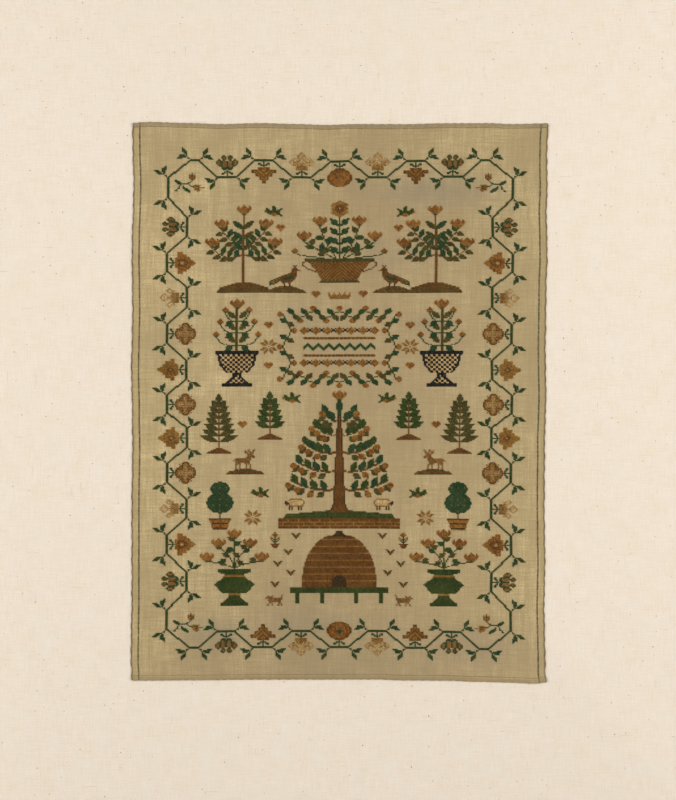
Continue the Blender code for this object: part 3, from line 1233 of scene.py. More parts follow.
@dataclass
class GroundCloth:
    """The sampler's own cloth, with a rolled hem at the top, a turned hem at the bottom and selvedges."""

    lay: ClothLay
    thickness: float = 0.6 * MM
    hem_thickness: float = 1.5 * MM
    top_hem: float = 2.8 * MM
    bottom_hem: float = 3.4 * MM
    step: float = 2.6 * MM
    selvedge_radius: float = 0.34 * MM
    selvedge_step: float = 1.3 * MM
    selvedge_knobble: float = 2.5 * MM
    whip_pitch: float = 1.5 * MM
    hem_pitch: float = 2.4 * MM
    tack_pitch: float = 11 * MM

    def rows(self) -> list[Place]:
        """Lists the rows of the cloth's net, closer over the hems.

        Returns:
            For each row, its height from the cloth's middle and its share of the hem's extra thickness.
        """
        half = self.lay.height / 2
        top = [(half - self.top_hem * d, s) for d, s in (
            (1.25, 0.0), (1.0, 0.35), (0.75, 0.9), (0.5, 1.0), (0.25, 0.95), (0.08, 0.6), (0.0, 0.25),
        )]
        bottom = [(self.bottom_hem * d - half, s) for d, s in (
            (0.0, 0.45), (0.1, 0.8), (0.4, 0.9), (0.85, 0.85), (1.0, 0.6), (1.08, 0.1), (1.3, 0.0),
        )]
        low, high = bottom[-1][0], top[0][0]
        count = round((high - low) / self.step)
        plain = [(low + (high - low) * i / count, 0.0) for i in range(1, count)]
        return bottom + plain + top

    def build_cloth(self) -> Object:
        """Builds the cloth as a net of faces with a thickness that grows over the hems.

        Returns:
            The finished piece.
        """
        rows = self.rows()
        columns = round(self.lay.width / self.step) + 1
        across = np.linspace(-self.lay.width / 2, self.lay.width / 2, columns)
        right, up = np.meshgrid(across, np.array([r[0] for r in rows]))
        places = self.lay.points(right.ravel(), up.ravel())
        faces = [
            (i, i + 1, i + columns + 1, i + columns)
            for row in range(len(rows) - 1)
            for i in range(row * columns, row * columns + columns - 1)
        ]
        mesh = bpy.data.meshes.new("ground_cloth")
        mesh.from_pydata(places.tolist(), [], faces)
        flat = mesh.uv_layers.new(name=CLOTH_UV)
        corner_verts = np.zeros(len(mesh.loops), dtype=np.int32)
        mesh.loops.foreach_get("vertex_index", corner_verts)
        uvs = np.stack([right.ravel()[corner_verts], up.ravel()[corner_verts]], axis=-1)
        flat.data.foreach_set("uv", uvs.astype(np.float32).ravel())
        mesh.shade_smooth()
        host = show(mesh, "ground_host")
        mesh.materials.append(GROUND_FINISH.material())
        hem = host.vertex_groups.new(name="hem")
        for row, (_, share) in enumerate(rows):
            if share:
                hem.add(list(range(row * columns, (row + 1) * columns)), share, "REPLACE")
        body = host.modifiers.new("thickness", "SOLIDIFY")
        body.thickness = self.hem_thickness
        body.offset = 1
        body.vertex_group = hem.name
        body.thickness_vertex_group = self.thickness / self.hem_thickness
        cloth = finished(host, "ground_cloth")
        cloth.vertex_groups.clear()
        return cloth

    def build_selvedges(self) -> Object:
        """Lays the dark outer thread of each selvedge along the cloth's side.

        Returns:
            The finished piece.
        """
        half = self.lay.height / 2
        up = np.arange(-half + 0.5 * MM, half - 0.5 * MM, self.selvedge_step)
        strands = []
        for side in (-1, 1):
            right = np.full_like(up, side * self.lay.width / 2)
            strands.append(self.lay.points(right, up, 0.5 * self.thickness))
        mesh = bpy.data.meshes.new("selvedges")
        edges = [(i, i + 1) for i in range(2 * len(up) - 1) if i != len(up) - 1]
        mesh.from_pydata(np.concatenate(strands).tolist(), edges, [])
        return run_tree(
            ThreadTree().tree, mesh, "selvedge_threads", Radius=self.selvedge_radius,
            Knobble=self.selvedge_knobble, Sides=6, Material=SELVEDGE_FINISH.material(),
        )

    def build(self, stitches: StitchTree) -> list[Object]:
        """Builds the cloth and everything sewn to its edges in single slanting stitches.

        Args:
            stitches: The tree that works the stitches.

        Returns:
            The cloth first, and then the pieces on it.
        """
        pieces = [deliver(self.build_cloth(), "sampler_ground", "sampler_cloth")]
        pieces.append(deliver(self.build_selvedges(), "sampler_ground"))
        side, end = self.lay.width / 2, self.lay.height / 2
        whip = np.arange(-side + 1 * MM, side - 1 * MM, self.whip_pitch)
        hem = np.arange(-side + 2 * MM, side - 2 * MM, self.hem_pitch)
        tack = np.arange(-end + 6 * MM, end - 5 * MM, self.tack_pitch)
        # Each row's name, flat places, height over the cloth's underside, reach, thread radius and arch
        for name, right, up, above, reach, radius, arch in (
            ("top_hem_whipping", whip, np.full_like(whip, end - 0.5 * self.top_hem),
             self.hem_thickness - 0.25 * MM, (0.45 * MM, 0.62 * self.top_hem, 0), 0.17 * MM, 0.3 * MM),
            ("bottom_hem_stitches", hem, np.full_like(hem, -end + 1.05 * self.bottom_hem),
             self.thickness, (0.35 * MM, 0.5 * MM, 0), 0.13 * MM, 0.15 * MM),
            ("mounting_tacks", np.repeat((-side, side), len(tack)), np.tile(tack, 2),
             0.45 * self.thickness, (0.9 * MM, 0.15 * MM, 0), 0.13 * MM, 0.45 * MM),
        ):
            pieces.append(stitches.work(
                name, self.lay.points(right, up, above), np.tile((0.0, 0.0, 1.0), (len(right), 1)),
                LINEN_FINISH, Crossed=False, Reach=reach, Radius=radius, Arch=arch,
            ))
        return pieces


# ---------------------------------------------------------------- the charts


class Silk(Enum):
    """The dyed silks of the stitching: each one's letter in the charts, deep dye and faded dye."""

    TEAL = ("t", "163c1c", "365430")
    VINE = ("v", "2c3a14", "465224")
    GREEN = ("g", "253a0b", "445620")
    OLIVE = ("o", "3d3a12", "625b2a")
    BROWN = ("b", "60370d", "825622")
    BARK = ("d", "36260c", "50391a")
    GOLD = ("y", "835819", "ac803c")
    RUST = ("r", "784411", "b07b34")
    TAN = ("a", "765021", "a47a42")
    PINK = ("p", "9e7b47", "c09e65")
    CREAM = ("c", "b8945c", "e6c88e")
    NAVY = ("n", "090e12", "1f2424")

    def finish(self) -> SpunThread:
        """Gives the thread that this silk is."""
        _, deep, faded = self.value
        return SpunThread(f"{self.name.lower()}_silk", colour=deep, faded=faded, roughness=0.7)


SILK_OF_LETTER = {silk.value[0]: silk for silk in Silk}


class Facing(Enum):
    """Which way a motif grows from its foot, as (columns, rows) for one stitch outward."""

    UP = (0, 1)
    DOWN = (0, -1)
    RIGHT = (1, 0)
    LEFT = (-1, 0)


# For the top and the bottom of a border: its sign, and the ways out of it and into it
ENDS = ((1, Facing.UP, Facing.DOWN), (-1, Facing.DOWN, Facing.UP))


@dataclass(frozen=True)
class Motif:
    """A small charted figure, written top row first with a silk's letter for each stitch.

    A dot is a bare place, and a row ends at its last stitch.
    A half motif is charted from its middle stitch outward and is worked on both sides of it.
    """

    rows: tuple[str, ...]
    half: bool = True

    def stitches(self) -> Iterator[tuple[int, int, Silk]]:
        """Finds the worked stitches.

        Yields:
            For each one, its place across and up from the foot, and its silk.
        """
        for up, row in enumerate(reversed(self.rows)):
            for across, letter in enumerate(row):
                if letter == ".":
                    continue
                yield across, up, SILK_OF_LETTER[letter]
                if self.half and across:
                    yield -across, up, SILK_OF_LETTER[letter]


def motif(text: str, half: bool = True) -> Motif:
    """Makes a motif from its chart, in which each word is a row."""
    return Motif(tuple(text.split()), half)


CALYX = motif("t ttt t.ttt t..tt t")
TULIP = motif("""
..oo
.oooo
.oaoo
.ooo..o
..oo.ooo
taaatoaao
taaatoaoo
taaatoaao
taaatoao
taaatoo
tdaat
ttttt
.ttt
""")
CARNATION = motif("""
p
pp
pcp
cppp
acpp
cpcp..p
pcp..pcp
cpp.pcppp
pcpapcacpp
cpcppappcp
acacpcpcp
yacacaap
yayap
ayaya
yayay
yyaya
""")
PALE_CARNATION = motif("""
p
pp
ccp
cccp
cccp
ccp...p
pp...pcp
p...pcccp
a.p.pccp
papppcp
apapapp
yapay.p
ayaya
yayay
ayaya
""")
STRAWBERRY = motif("""
bb
bb
yb
ybbb
byyb
bbyb
ybbybbb
yybbybb
byybbyb
bbyybbybbb
ybbyybbybb
yybbyybbbb
bybbb
ybbbb
""")
ROSE = motif("""
rrrb
rrrrbb
rrrrbrbb
rrrrrbrb
aarrrbrbb
aaarrrbrbb
aarrrrrrbb
rrbbrrrrbb
rrbbrrrrbb
aarrrrrrbb
aaarrrbrb
aarrrbrb
rrrrbrbb
rrbrrbb
bbbbb
bbbb
""")
STAR_FLOWER = motif("""
y
yy
yyy
yyy
rrrrr
brrrrr
bbrrrr
rbbrrrrr
bbbbrrrr
pabbrrrr
cpbbrrrrrr
pabbrrrryy
bbbbrrrrry
rbbrrrrrrr
rrrrr
rrrrr
""")
ROSETTE = motif("""
bbb
aabbb
papyb
ppabyb.b
papbyyb
ppabybbbb
papayayybb
ppppppapyb
papapppayb
papayayybb
ppabybbbb
papbyyb
ppabyb.b
papyb
aabbb
bbb
""")
GOLD_LEAF = motif("""
yy
yy
yyy
yyy
yyyyy
byyyy
yyyyyyyy
byybyyyy
bbyyyyyy
pobyyyyy
pabybyyyyy
bbyyyyyyyy
byybyyyyyy
yyyyyy
yyyyyy
yyyyy
""")
LEAF_PAIR = motif("""
.....g
....gg
...ggg
..gtgt
..ggg
..tg
..t.tttt
..tttttt
.v.tttttt
vv....tttt
""", half=False)
SPRIG = motif("""
.............b
...........y.b.y
...........ybbby
...........oybyo
...........bybyb
............oyo
tt...........b
tttt........b
.tttt.....tt
..ttttttttt
....t......t...rryyy
...t..t.....tttrooo
...t..tt......rrryyyyyy
..tt..tttt.....rroo
.t.....tttt....rryyy
tt......tttt.....rr
..........tt
""", half=False)
STAG = motif("""
.a...a
.aa..aa.a
..a.aa.aa
..aaa.aaa
...aaaa
..aaaaa
.aaaaaa
.aa.aaaa
....aaaaaaaaaaaa
....aaaaaaaaaaaaa
.....aaaaaaaaaaa.a
.....aaaaaaaaaaa
.....aaaa...aaaa
....aa.a....a.aa
....a..a....a..a
....a..a....a..a
....a..a....a..a
...aa.aa...aa.aa
""", half=False)
SHEEP = motif("""
...aaaaaaaaa
..accccccccca
.accccccccccccad
.acccccccccccadd
.accccccccccaddd
..accccccccca.d
..aaaaaaaaaaa
...d.d....d.d
...d.d....d.d
...d.d....d.d
""", half=False)
DOG = motif("""
a
.a......a..a
.a......aaaaa
.aaaaaaaaaaaaa
.aaaaaaaaaaa
..aaaaaaaaaa
..aaaaaaaaa
..aa.....aa
.a.a....a..a
.a.aa...a..aa
""", half=False)
PEACOCK = motif("""
....n.n
.....n
....bbb
...bdbbb
.yybbbbb
....bbbb
....bbbbb
....bbbbbbb
....bbbbbbbbbb
....bbbtttbbbbbb
.....bbtttttbbbbbt
.....bbbttttttbbbytt
......bbbbtttttbbbbytt
.......bbbbbbbbbbtybbytt
........bbbbbbbb..tybbyyt
.........bb..bb....ttyybt
.........d...d.......tttt
.........d...d..........t
........dd..dd
""", half=False)
SMALL_BIRD = motif("""
......gg
.....ggg
gg...ggg...gg
.ggg.ggg..ggg
..gggggggggggy
..ggggggggggyy
..gggrrrgggg
.gggrrrrrg
gg...rrr
""", half=False)
BEE = motif("""
oo...oo
.oo.oo
.ydydy
..ydy
...d
""", half=False)
HEART = motif("""
.rr
rrrr
rrrr
rrr
rr
r
""")
EIGHT_POINT_STAR = motif("""
...y
..yy
.yyy
.yy.yyy
.y.yyy
..yyy
r
..yyy
.y.yyy
.yy.yyy
.yyy
..yy
...y
""")
CROWN = motif("""
y...y...y
y...y...y
yy.yyy.yy
yyyyyyyyy
yryyryyr
yyyyyyyy
""")
SMALL_CARNATION = motif("""
r
rr..r
rrr.rr
rrrrrr
arrrrr
aarrr
aaar
oaa
oo
""")
BUD = motif("r rr rrr arr oo")
APPLE = motif("rr rrr rrr rrr rr")
BERRY = motif("rr rrr rrr rr")
SUNFLOWER = motif("""
yy
yyyy
yyyyyy
byyyyyy
bbbyyyy
bbbbyy
cbbbyyy
bbbbyyy
bbbbyy
bbbyyyy
byyyyyy
yyyyyy
yyyy
yy
""")
SMALL_POT = motif("""
r
rr
rrr
or
g..r
g.rr
gg.r
g.g
gg
g
bbbb
bbb
bbb
bb
""")


@dataclass
class Chart:
    """Which silk works each place of the cloth, by (column, row) from its middle.

    Both sides of the middle column are worked alike.
    """

    stitches: dict[tuple[int, int], Silk] = field(default_factory=dict)

    def put(self, column: float, row: float, silk: Silk) -> None:
        """Works the stitch nearest to a place, and its mirror image across the middle column."""
        for side in (1, -1):
            self.stitches[side * round(column), round(row)] = silk

    def block(self, left: int, right: int, bottom: int, top: int, silk: Silk) -> None:
        """Fills a rectangle of stitches, its end columns and rows included."""
        for column, row in product(range(left, right + 1), range(bottom, top + 1)):
            self.put(column, row, silk)

    def stamp(self, figure: Motif, column: float, row: float, facing: Facing = Facing.UP,
              turned: bool = False) -> None:
        """Works a motif.

        Args:
            figure: The motif.
            column: The column of its foot.
            row: The row of its foot.
            facing: The way it grows.
            turned: Whether its two sides change places.
        """
        out_column, out_row = facing.value
        side = -1 if turned else 1
        for across, up, silk in figure.stitches():
            self.put(
                column + up * out_column + across * side * abs(out_row),
                row + up * out_row + across * side * abs(out_column),
                silk,
            )

    def line(self, start: Place, end: Place, silk: Silk, width: int = 1) -> None:
        """Works a straight line.

        Args:
            start: Its first column and row.
            end: Its last column and row.
            silk: Its silk.
            width: How many stitches wide it is, across the way it runs most.
        """
        columns, rows = end[0] - start[0], end[1] - start[1]
        steps = max(round(abs(columns)), round(abs(rows)), 1)
        for step in range(steps + 1):
            column, row = start[0] + columns * step / steps, start[1] + rows * step / steps
            for extra in range(width):
                if abs(rows) >= abs(columns):
                    self.put(math.floor(column + 0.5) + extra, row, silk)
                else:
                    self.put(column, math.floor(row + 0.5) + extra, silk)

    def bend(self, start: Place, control: Place, end: Place, silk: Silk, width: int = 1) -> list[Place]:
        """Works a curved line.

        Args:
            start: Its first column and row.
            control: The place that it leaves start towards.
            end: Its last column and row.
            silk: Its silk.
            width: How many stitches wide it is.

        Returns:
            Places along it, in steps that leaves and fruit are set on.
        """
        steps = 14
        points = []
        for step in range(steps + 1):
            t = step / steps
            shares = ((1 - t) ** 2, 2 * t * (1 - t), t * t)
            points.append(tuple(
                sum(share * point[k] for share, point in zip(shares, (start, control, end))) for k in (0, 1)
            ))
        for before, after in zip(points, points[1:]):
            self.line(before, after, silk, width)
        return points

    def leaf(self, base: Place, tip: Place, width: float, silk: Silk) -> None:
        """Fills a pointed leaf, with the stitches whose middles lie just past its rim or its tip.

        Args:
            base: The column and row of its stalk.
            tip: How many columns and rows its tip is from there.
            width: Its width in stitches.
            silk: Its silk.
        """
        columns, rows = tip
        past_rim, past_tip = 0.35, 1.02
        length = math.hypot(columns, rows)
        reach = int(length + width) + 1
        near = (range(round(middle) - reach, round(middle) + reach + 1) for middle in base)
        for column, row in product(*near):
            right, up = column - base[0], row - base[1]
            along = (right * columns + up * rows) / length ** 2
            across = abs(right * rows - up * columns) / length
            half = width / 2 * math.sin(math.pi * min(max(along, 0), 1))
            if 0 <= along <= past_tip and across <= half + past_rim:
                self.put(column, row, silk)

    def turned_shape(self, column: int, bottom: int, profile: list[Place],
                     pick: Callable[[int, int, int], Silk]) -> None:
        """Fills a shape that is alike on both sides of its own middle.

        Args:
            column: The column of its middle.
            bottom: Its lowest row.
            profile: Its half width at some of its rows, from its lowest row up.
            pick: Gives each stitch's silk from its place across and up and the half width of its row.
        """
        ups, halves = zip(*profile)
        for up in range(ups[-1] + 1):
            half = round(float(np.interp(up, ups, halves)))
            for across in range(-half, half + 1):
                self.put(column + across, bottom + up, pick(across, up, half))


@dataclass
class BorderVine(Chart):
    """The meandering vine round the edge, with a leaf pair at each bend and a flower on each flat.

    Its flats lie by turns at the outer line and at the inner one, and slopes join them. Sizes are in
    stitches. The worker's count slips a little, so the flats' middles are listed.
    """

    half_columns: int = 132
    half_rows: int = 211
    depth_columns: int = 15
    depth_rows: int = 14
    flat_columns: int = 7
    flat_rows: int = 8
    top_middles: tuple[int, ...] = (0, 29, 58, 86)
    side_middles: tuple[int, ...] = (-153, -121, -90, -59, -29, 0, 30, 61, 92, 122, 153)
    corner_flat: tuple[int, int] = (107, 114)
    corner_rise: tuple[int, int] = (178, 195)

    def stalk(self, start: Place, end: Place) -> None:
        """Works a stretch of the vine two stitches wide, in a darker green and an olive one."""
        self.line(start, end, Silk.VINE, 2)
        self.line(start, end, Silk.TEAL)

    def flower(self, figure: Motif, column: int, row: int, facing: Facing) -> None:
        """Works a flower and its calyx on the middle of a flat, growing the way it faces."""
        for part, away in ((CALYX, 1), (figure, 1 + len(CALYX.rows))):
            self.stamp(part, column + away * facing.value[0], row + away * facing.value[1], facing)

    def work_top_and_bottom(self) -> None:
        """Works the flats, slopes, leaves and flowers along the top and the bottom."""
        figures = (ROSE, CARNATION, STRAWBERRY, TULIP)
        for sign, out_facing, in_facing in ENDS:
            rows = [sign * self.half_rows, sign * (self.half_rows - self.depth_rows)]
            next_feet = (*self.top_middles[1:], self.corner_flat[0] + self.flat_columns)
            for index, (middle, next_foot) in enumerate(zip(self.top_middles, next_feet)):
                row, outer = rows[index % 2], index % 2 == 0
                left, right = middle - self.flat_columns, middle + self.flat_columns
                low = row - (sign > 0)
                self.stalk((left, low), (right, low))
                self.stalk((right, low), (next_foot - self.flat_columns, rows[not index % 2] - (sign > 0)))
                leaf_row = row + (sign if outer else -2 * sign)
                facing, flower_facing = (out_facing, in_facing) if outer else (in_facing, out_facing)
                self.stamp(LEAF_PAIR, right + 1, leaf_row, facing)
                if index:
                    self.stamp(LEAF_PAIR, left - 1, leaf_row, facing, turned=True)
                self.flower(figures[index], middle, row - sign if outer else row, flower_facing)
        # The rose in the middle of the bottom has a green heart
        self.block(-1, 1, 13 - self.half_rows, 15 - self.half_rows, Silk.TEAL)

    def work_sides(self) -> None:
        """Works the flats, slopes, leaves and flowers up both sides."""
        inner_figures = {1: GOLD_LEAF, 3: PALE_CARNATION, 5: TULIP}
        columns = [self.half_columns, self.half_columns - self.depth_columns]
        for place, middle in enumerate(self.side_middles):
            index = abs(place - len(self.side_middles) // 2)
            column, outer = columns[index % 2], index % 2 == 0
            bottom, top = middle - self.flat_rows, middle + self.flat_rows
            self.stalk((column - 1, bottom), (column - 1, top))
            if place + 1 < len(self.side_middles):
                next_bottom = self.side_middles[place + 1] - self.flat_rows
                self.stalk((column - 1, top), (columns[not index % 2] - 1, next_bottom))
            facing = Facing.RIGHT if outer else Facing.LEFT
            leaf_column = column + 1 if outer else column - 2
            self.stamp(LEAF_PAIR, leaf_column, top + 1, facing)
            self.stamp(LEAF_PAIR, leaf_column, bottom - 1, facing, turned=True)
            if outer:
                self.flower(ROSETTE if index < 4 else STAR_FLOWER, column - 1, middle, Facing.LEFT)
            else:
                self.flower(inner_figures[index], column, middle, Facing.RIGHT)

    def work_corners(self) -> None:
        """Works the short flats and cut corners that join the runs, and a flower sprig inside each."""
        inner = self.half_columns - self.depth_columns - 1
        side = self.half_columns - 1
        left, right = self.corner_flat
        for sign in (1, -1):
            low = sign * self.half_rows - (sign > 0)
            bottom, top = (sign * row for row in self.corner_rise)
            last = sign * (self.side_middles[-1] + self.flat_rows)
            for start, end in (
                ((left, low), (right, low)), ((right, low), (side, top)),
                ((side, bottom), (side, top)), ((inner, last), (side, bottom)),
            ):
                self.stalk(start, end)
            facing = Facing.UP if sign > 0 else Facing.DOWN
            row = sign * (self.half_rows + 1)
            self.stamp(LEAF_PAIR, left - 1, row, facing, turned=True)
            self.stamp(LEAF_PAIR, right + 1, row, facing)
            self.stamp(LEAF_PAIR, side + 2, top + sign, Facing.RIGHT, turned=sign < 0)
            self.stamp(LEAF_PAIR, side + 2, bottom - sign, Facing.RIGHT, turned=sign > 0)
        for row in (183, -197):
            self.stamp(SPRIG, 126, row, turned=True)

    def work(self) -> None:
        """Works the whole vine."""
        self.work_sides()
        self.work_corners()
        self.work_top_and_bottom()


@dataclass
class Interior(Chart):
    """The free motifs inside the vine: ordinary garden and field figures in four bands.

    A figure that is worked once holds its own place: its middle column and its lowest row.
    """

    panel_middle: int = 50

    def work(self) -> None:
        """Works every motif, from the top band to the bottom one."""
        self.basket()
        self.rose_tree()
        self.mound(41, 97, 15, 5)
        for figure, column, row in (
            (PEACOCK, 29, 102), (HEART, 45, 150), (SMALL_BIRD, 44, 163), (CROWN, 0, 92), (HEART, 18, 93),
            (EIGHT_POINT_STAR, 54, 44), (HEART, 54, 66), (HEART, 54, 31), (SHEEP, 26, -91),
            (SMALL_BIRD, 54, -80), (EIGHT_POINT_STAR, 66, -104), (STAG, 64, -56), (HEART, 74, -20),
            (SMALL_BIRD, 30, 2), (SMALL_POT, 49, -124),
        ):
            self.stamp(figure, column, row)
        self.panel()
        self.panel_bands()
        self.chequered_pot()
        self.tree_of_life()
        self.fir(53, -30, 5, Silk.GREEN)
        self.fir(92, -42, 7, Silk.OLIVE)
        self.mound(72, -60, 14, 4)
        self.orange_tree()
        self.skep()
        self.urn()
        self.stamp(DOG, 43, -174)

    def mound(self, column: int, bottom: int, half: int, height: int) -> None:
        """Works a low hump of earth in brown, with a row of olive turf at every third row."""
        profile = [(0, half), (height // 2, half - 2), (height, half // 3)]
        self.turned_shape(column, bottom, profile, lambda a, u, h: Silk.BROWN if u % 3 else Silk.OLIVE)

    def basket(self) -> None:
        """Works a wicker basket of garden flowers, its canes hatched in brown and gold."""

        def weave(across: int, up: int, half: int) -> Silk:
            """Picks the hatching, and plain olive for the foot and the rim."""
            hatch = Silk.GOLD if (across + up) % 3 == 2 else Silk.BROWN
            return Silk.OLIVE if up < 2 or up > 17 else hatch

        bottom = 106
        profile = [(0, 15), (2, 13), (4, 14), (12, 19), (17, 23), (18, 26), (20, 26)]
        self.turned_shape(0, bottom, profile, weave)
        top = bottom + 21
        for column, row, lean in ((15, 28, 11), (27, 15, 16)):
            points = self.bend(
                (lean / 4, top), (lean, top + row * 0.45), (column, top + row - 1), Silk.GREEN
            )
            for step, across, up, silk in (
                (4, 6, -1, Silk.OLIVE), (6, -1, 7, Silk.TEAL), (9, 7, 1, Silk.GREEN), (11, -3, 6, Silk.OLIVE),
            ):
                self.leaf(points[step], (across, up), 4, silk)
        self.line((0, top), (0, top + 36), Silk.GREEN)
        for up in (4, 12, 20, 28):
            self.leaf((1, top + up), (6, 6), 4, Silk.TEAL)
        self.bend((12, top), (28, top + 1), (34, top + 4), Silk.GREEN)
        self.bend((25, bottom + 18), (34, bottom + 15), (18, bottom + 9), Silk.BROWN)
        for figure, column, up in (
            (SUNFLOWER, 0, 36), (SMALL_CARNATION, 15, 28), (SMALL_CARNATION, 27, 15), (BUD, 34, 4),
        ):
            self.stamp(figure, column, top + up)

    def rose_tree(self) -> None:
        """Works a rose tree on a brown stem, with leaves up every branch and a rose at each end."""
        column, bottom = 73, 102
        self.block(column, column + 1, bottom + 3, bottom + 52, Silk.BROWN)
        self.mound(column, bottom - 5, 20, 8)
        ends = ((-24, 34), (-17, 50), (17, 50), (24, 34))
        for across, up in ends:
            side = 1 if across > 0 else -1
            points = self.bend(
                (column, bottom + 20 + up // 4),
                (column + across * 0.5, bottom + up - 14),
                (column + across, bottom + up - 1), Silk.BROWN,
            )
            for step in (4, 7, 10, 13):
                x, y = points[step]
                self.leaf((x, y), (-side * 3, 7), 3.6, Silk.GREEN if step % 2 else Silk.TEAL)
                self.leaf((x, y - 1), (side * 6, -2), 3.4, Silk.OLIVE)
            self.stamp(SMALL_CARNATION, column + across, bottom + up)
        self.line((column, bottom + 50), (column, bottom + 61), Silk.BROWN)
        for up in (32, 41, 50):
            self.leaf((column + 1, bottom + up), (7, 6), 4, Silk.TEAL)
            self.leaf((column, bottom + up), (-7, 6), 4, Silk.OLIVE)
        self.stamp(SMALL_CARNATION, column, bottom + 62)

    def panel(self) -> None:
        """Works the panel's frame: a wavy vine with a berry on each crest and leaves between them."""
        middle, half, rise, wave = self.panel_middle, 40, 28, 2.6
        for column in range(half + 1):
            height = rise + wave * math.cos(column * math.tau / 20)
            for sign in (1, -1):
                self.put(column, middle + sign * height, Silk.GREEN)
        for row in range(-rise, rise + 1):
            self.put(half + wave * math.cos(row * math.tau / 28), middle + row, Silk.GREEN)
        for sign, out_facing, in_facing in ENDS:
            for column in range(0, half, 10):
                outer = column % 20 == 0
                foot = middle + sign * (rise + (4 if outer else -4))
                self.stamp(BERRY, column, foot, out_facing if outer else in_facing)
                for across, up, silk in ((4, 5, Silk.TEAL), (-4, -5, Silk.OLIVE)):
                    self.leaf((column + 5, middle + sign * rise), (across, sign * up), 4, silk)
        for row in (-28, -14, 0, 14, 28):
            away, facing = (4, Facing.RIGHT) if row % 28 == 0 else (-4, Facing.LEFT)
            self.stamp(BERRY, half + away, middle + row, facing)
        for row in (-21, -7, 7, 21):
            for across, up, silk in ((5, 3, Silk.TEAL), (-5, -3, Silk.OLIVE)):
                self.leaf((half, middle + row), (across, up), 4, silk)

    def panel_bands(self) -> None:
        """Works the panel's bands: a zigzag, two lines, and two rows of diamonds and small crosses."""
        middle, half = self.panel_middle, 28
        for column in range(half):
            zigzag = abs(column % 8 - 4) - 2
            for up in (zigzag - 1, zigzag, zigzag + 1):
                self.put(column, middle + up, Silk.TEAL)
            for up in (-8, -7, 7, 8):
                self.put(column, middle + up, Silk.BROWN if column % 3 else Silk.GOLD)
        cross = ((-0.5, 0), (0.5, 0), (-0.5, 1), (0.5, 1), (-1.5, 2), (1.5, 2), (-1.5, -1), (1.5, -1))
        for row in (middle - 14, middle + 14):
            for centre in range(0, half, 9):
                for across in range(-3, 4):
                    for up in range(abs(across) - 3, 4 - abs(across)):
                        silk = Silk.GOLD if abs(across) + abs(up) < 2 else Silk.RUST
                        self.put(centre + across, row + up, silk)
            for centre in (4.5, 13.5, 22.5):
                for across, up in cross:
                    self.put(centre + across, row + up, Silk.NAVY)

    def chequered_pot(self) -> None:
        """Works a footed pot chequered in navy and cream, with a tall branching plant."""

        def chequer(across: int, up: int, half: int) -> Silk:
            """Picks the chequers, and plain navy for the foot, the collar, the rim and the outline."""
            dark = up < 3 or up in (10, 11) or up > 27 or abs(across) >= half - 1
            return Silk.NAVY if dark or ((across + 30) // 2 + up // 2) % 2 else Silk.CREAM

        column, bottom = 78, 16
        profile = [(0, 11), (2, 11), (3, 8), (8, 3), (11, 3), (12, 8), (18, 13), (26, 14), (28, 16), (30, 16)]
        self.turned_shape(column, bottom, profile, chequer)
        top = bottom + 31
        self.line((column, top), (column, top + 36), Silk.OLIVE, 2)
        for up, reach in ((4, 16), (15, 13), (25, 9)):
            for side in (-1, 1):
                at = top + up
                end = (column + side * reach, at + 7)
                self.bend((column, at), (column + side * reach * 0.7, at - 1), end, Silk.GREEN)
                self.leaf((column + side * 3, at), (side * 6, -4), 4, Silk.TEAL)
                self.leaf((column + side * 2, at + 3), (side * 5, 5), 4, Silk.OLIVE)
                self.stamp(BUD, end[0], end[1] + 1)
        self.stamp(SMALL_CARNATION, column, top + 36)

    def tree_of_life(self) -> None:
        """Works a broad apple tree on a grassy bank over a brick wall, its boughs to one rule."""

        def bricks(across: int, up: int, half: int) -> Silk:
            """Picks gold for the joints between the bricks and brown for the bricks."""
            joint = up % 3 == 2 or (abs(across) + 4 * (up // 3 % 2)) % 8 == 7
            return Silk.GOLD if joint and up < 8 else Silk.BROWN

        bottom = -96
        self.turned_shape(0, bottom - 11, [(0, 46), (8, 46)], bricks)
        bank = [(0, 42), (3, 40), (5, 20), (6, 10)]
        self.turned_shape(0, bottom - 2, bank, lambda a, u, h: Silk.OLIVE if u % 3 == 2 else Silk.GREEN)
        trunk = [(0, 8), (4, 5), (10, 4), (60, 2), (84, 1)]
        self.turned_shape(0, bottom + 3, trunk, lambda a, u, h: Silk.BARK if abs(a) == h else Silk.BROWN)
        boughs = ((22, 37, 8), (38, 33, 9), (54, 27, 9), (70, 19, 9), (82, 11, 10))
        for index, (up, reach, rise) in enumerate(boughs):
            control, end = (reach * 0.55, bottom + up - 3), (reach, bottom + up + rise)
            points = self.bend((2, bottom + up), control, end, Silk.BROWN, 2 if index < 3 else 1)
            for step in range(3, 15, 3 if index < 3 else 4):
                x, y = points[step]
                silk = Silk.TEAL if (step + index) % 2 else Silk.GREEN
                self.leaf((x, y), (4, 9), 4.6, silk)
                self.leaf((x + 2, y - 1), (5, -5), 4.2, Silk.OLIVE)
            for step in (7, 11, 14):
                x, y = points[step]
                if x > 10:
                    self.stamp(APPLE, round(x) + 2, round(y) - 2, Facing.DOWN)
        self.leaf((0, bottom + 86), (0, 17), 4, Silk.TEAL)
        self.stamp(SMALL_CARNATION, 0, bottom + 100)

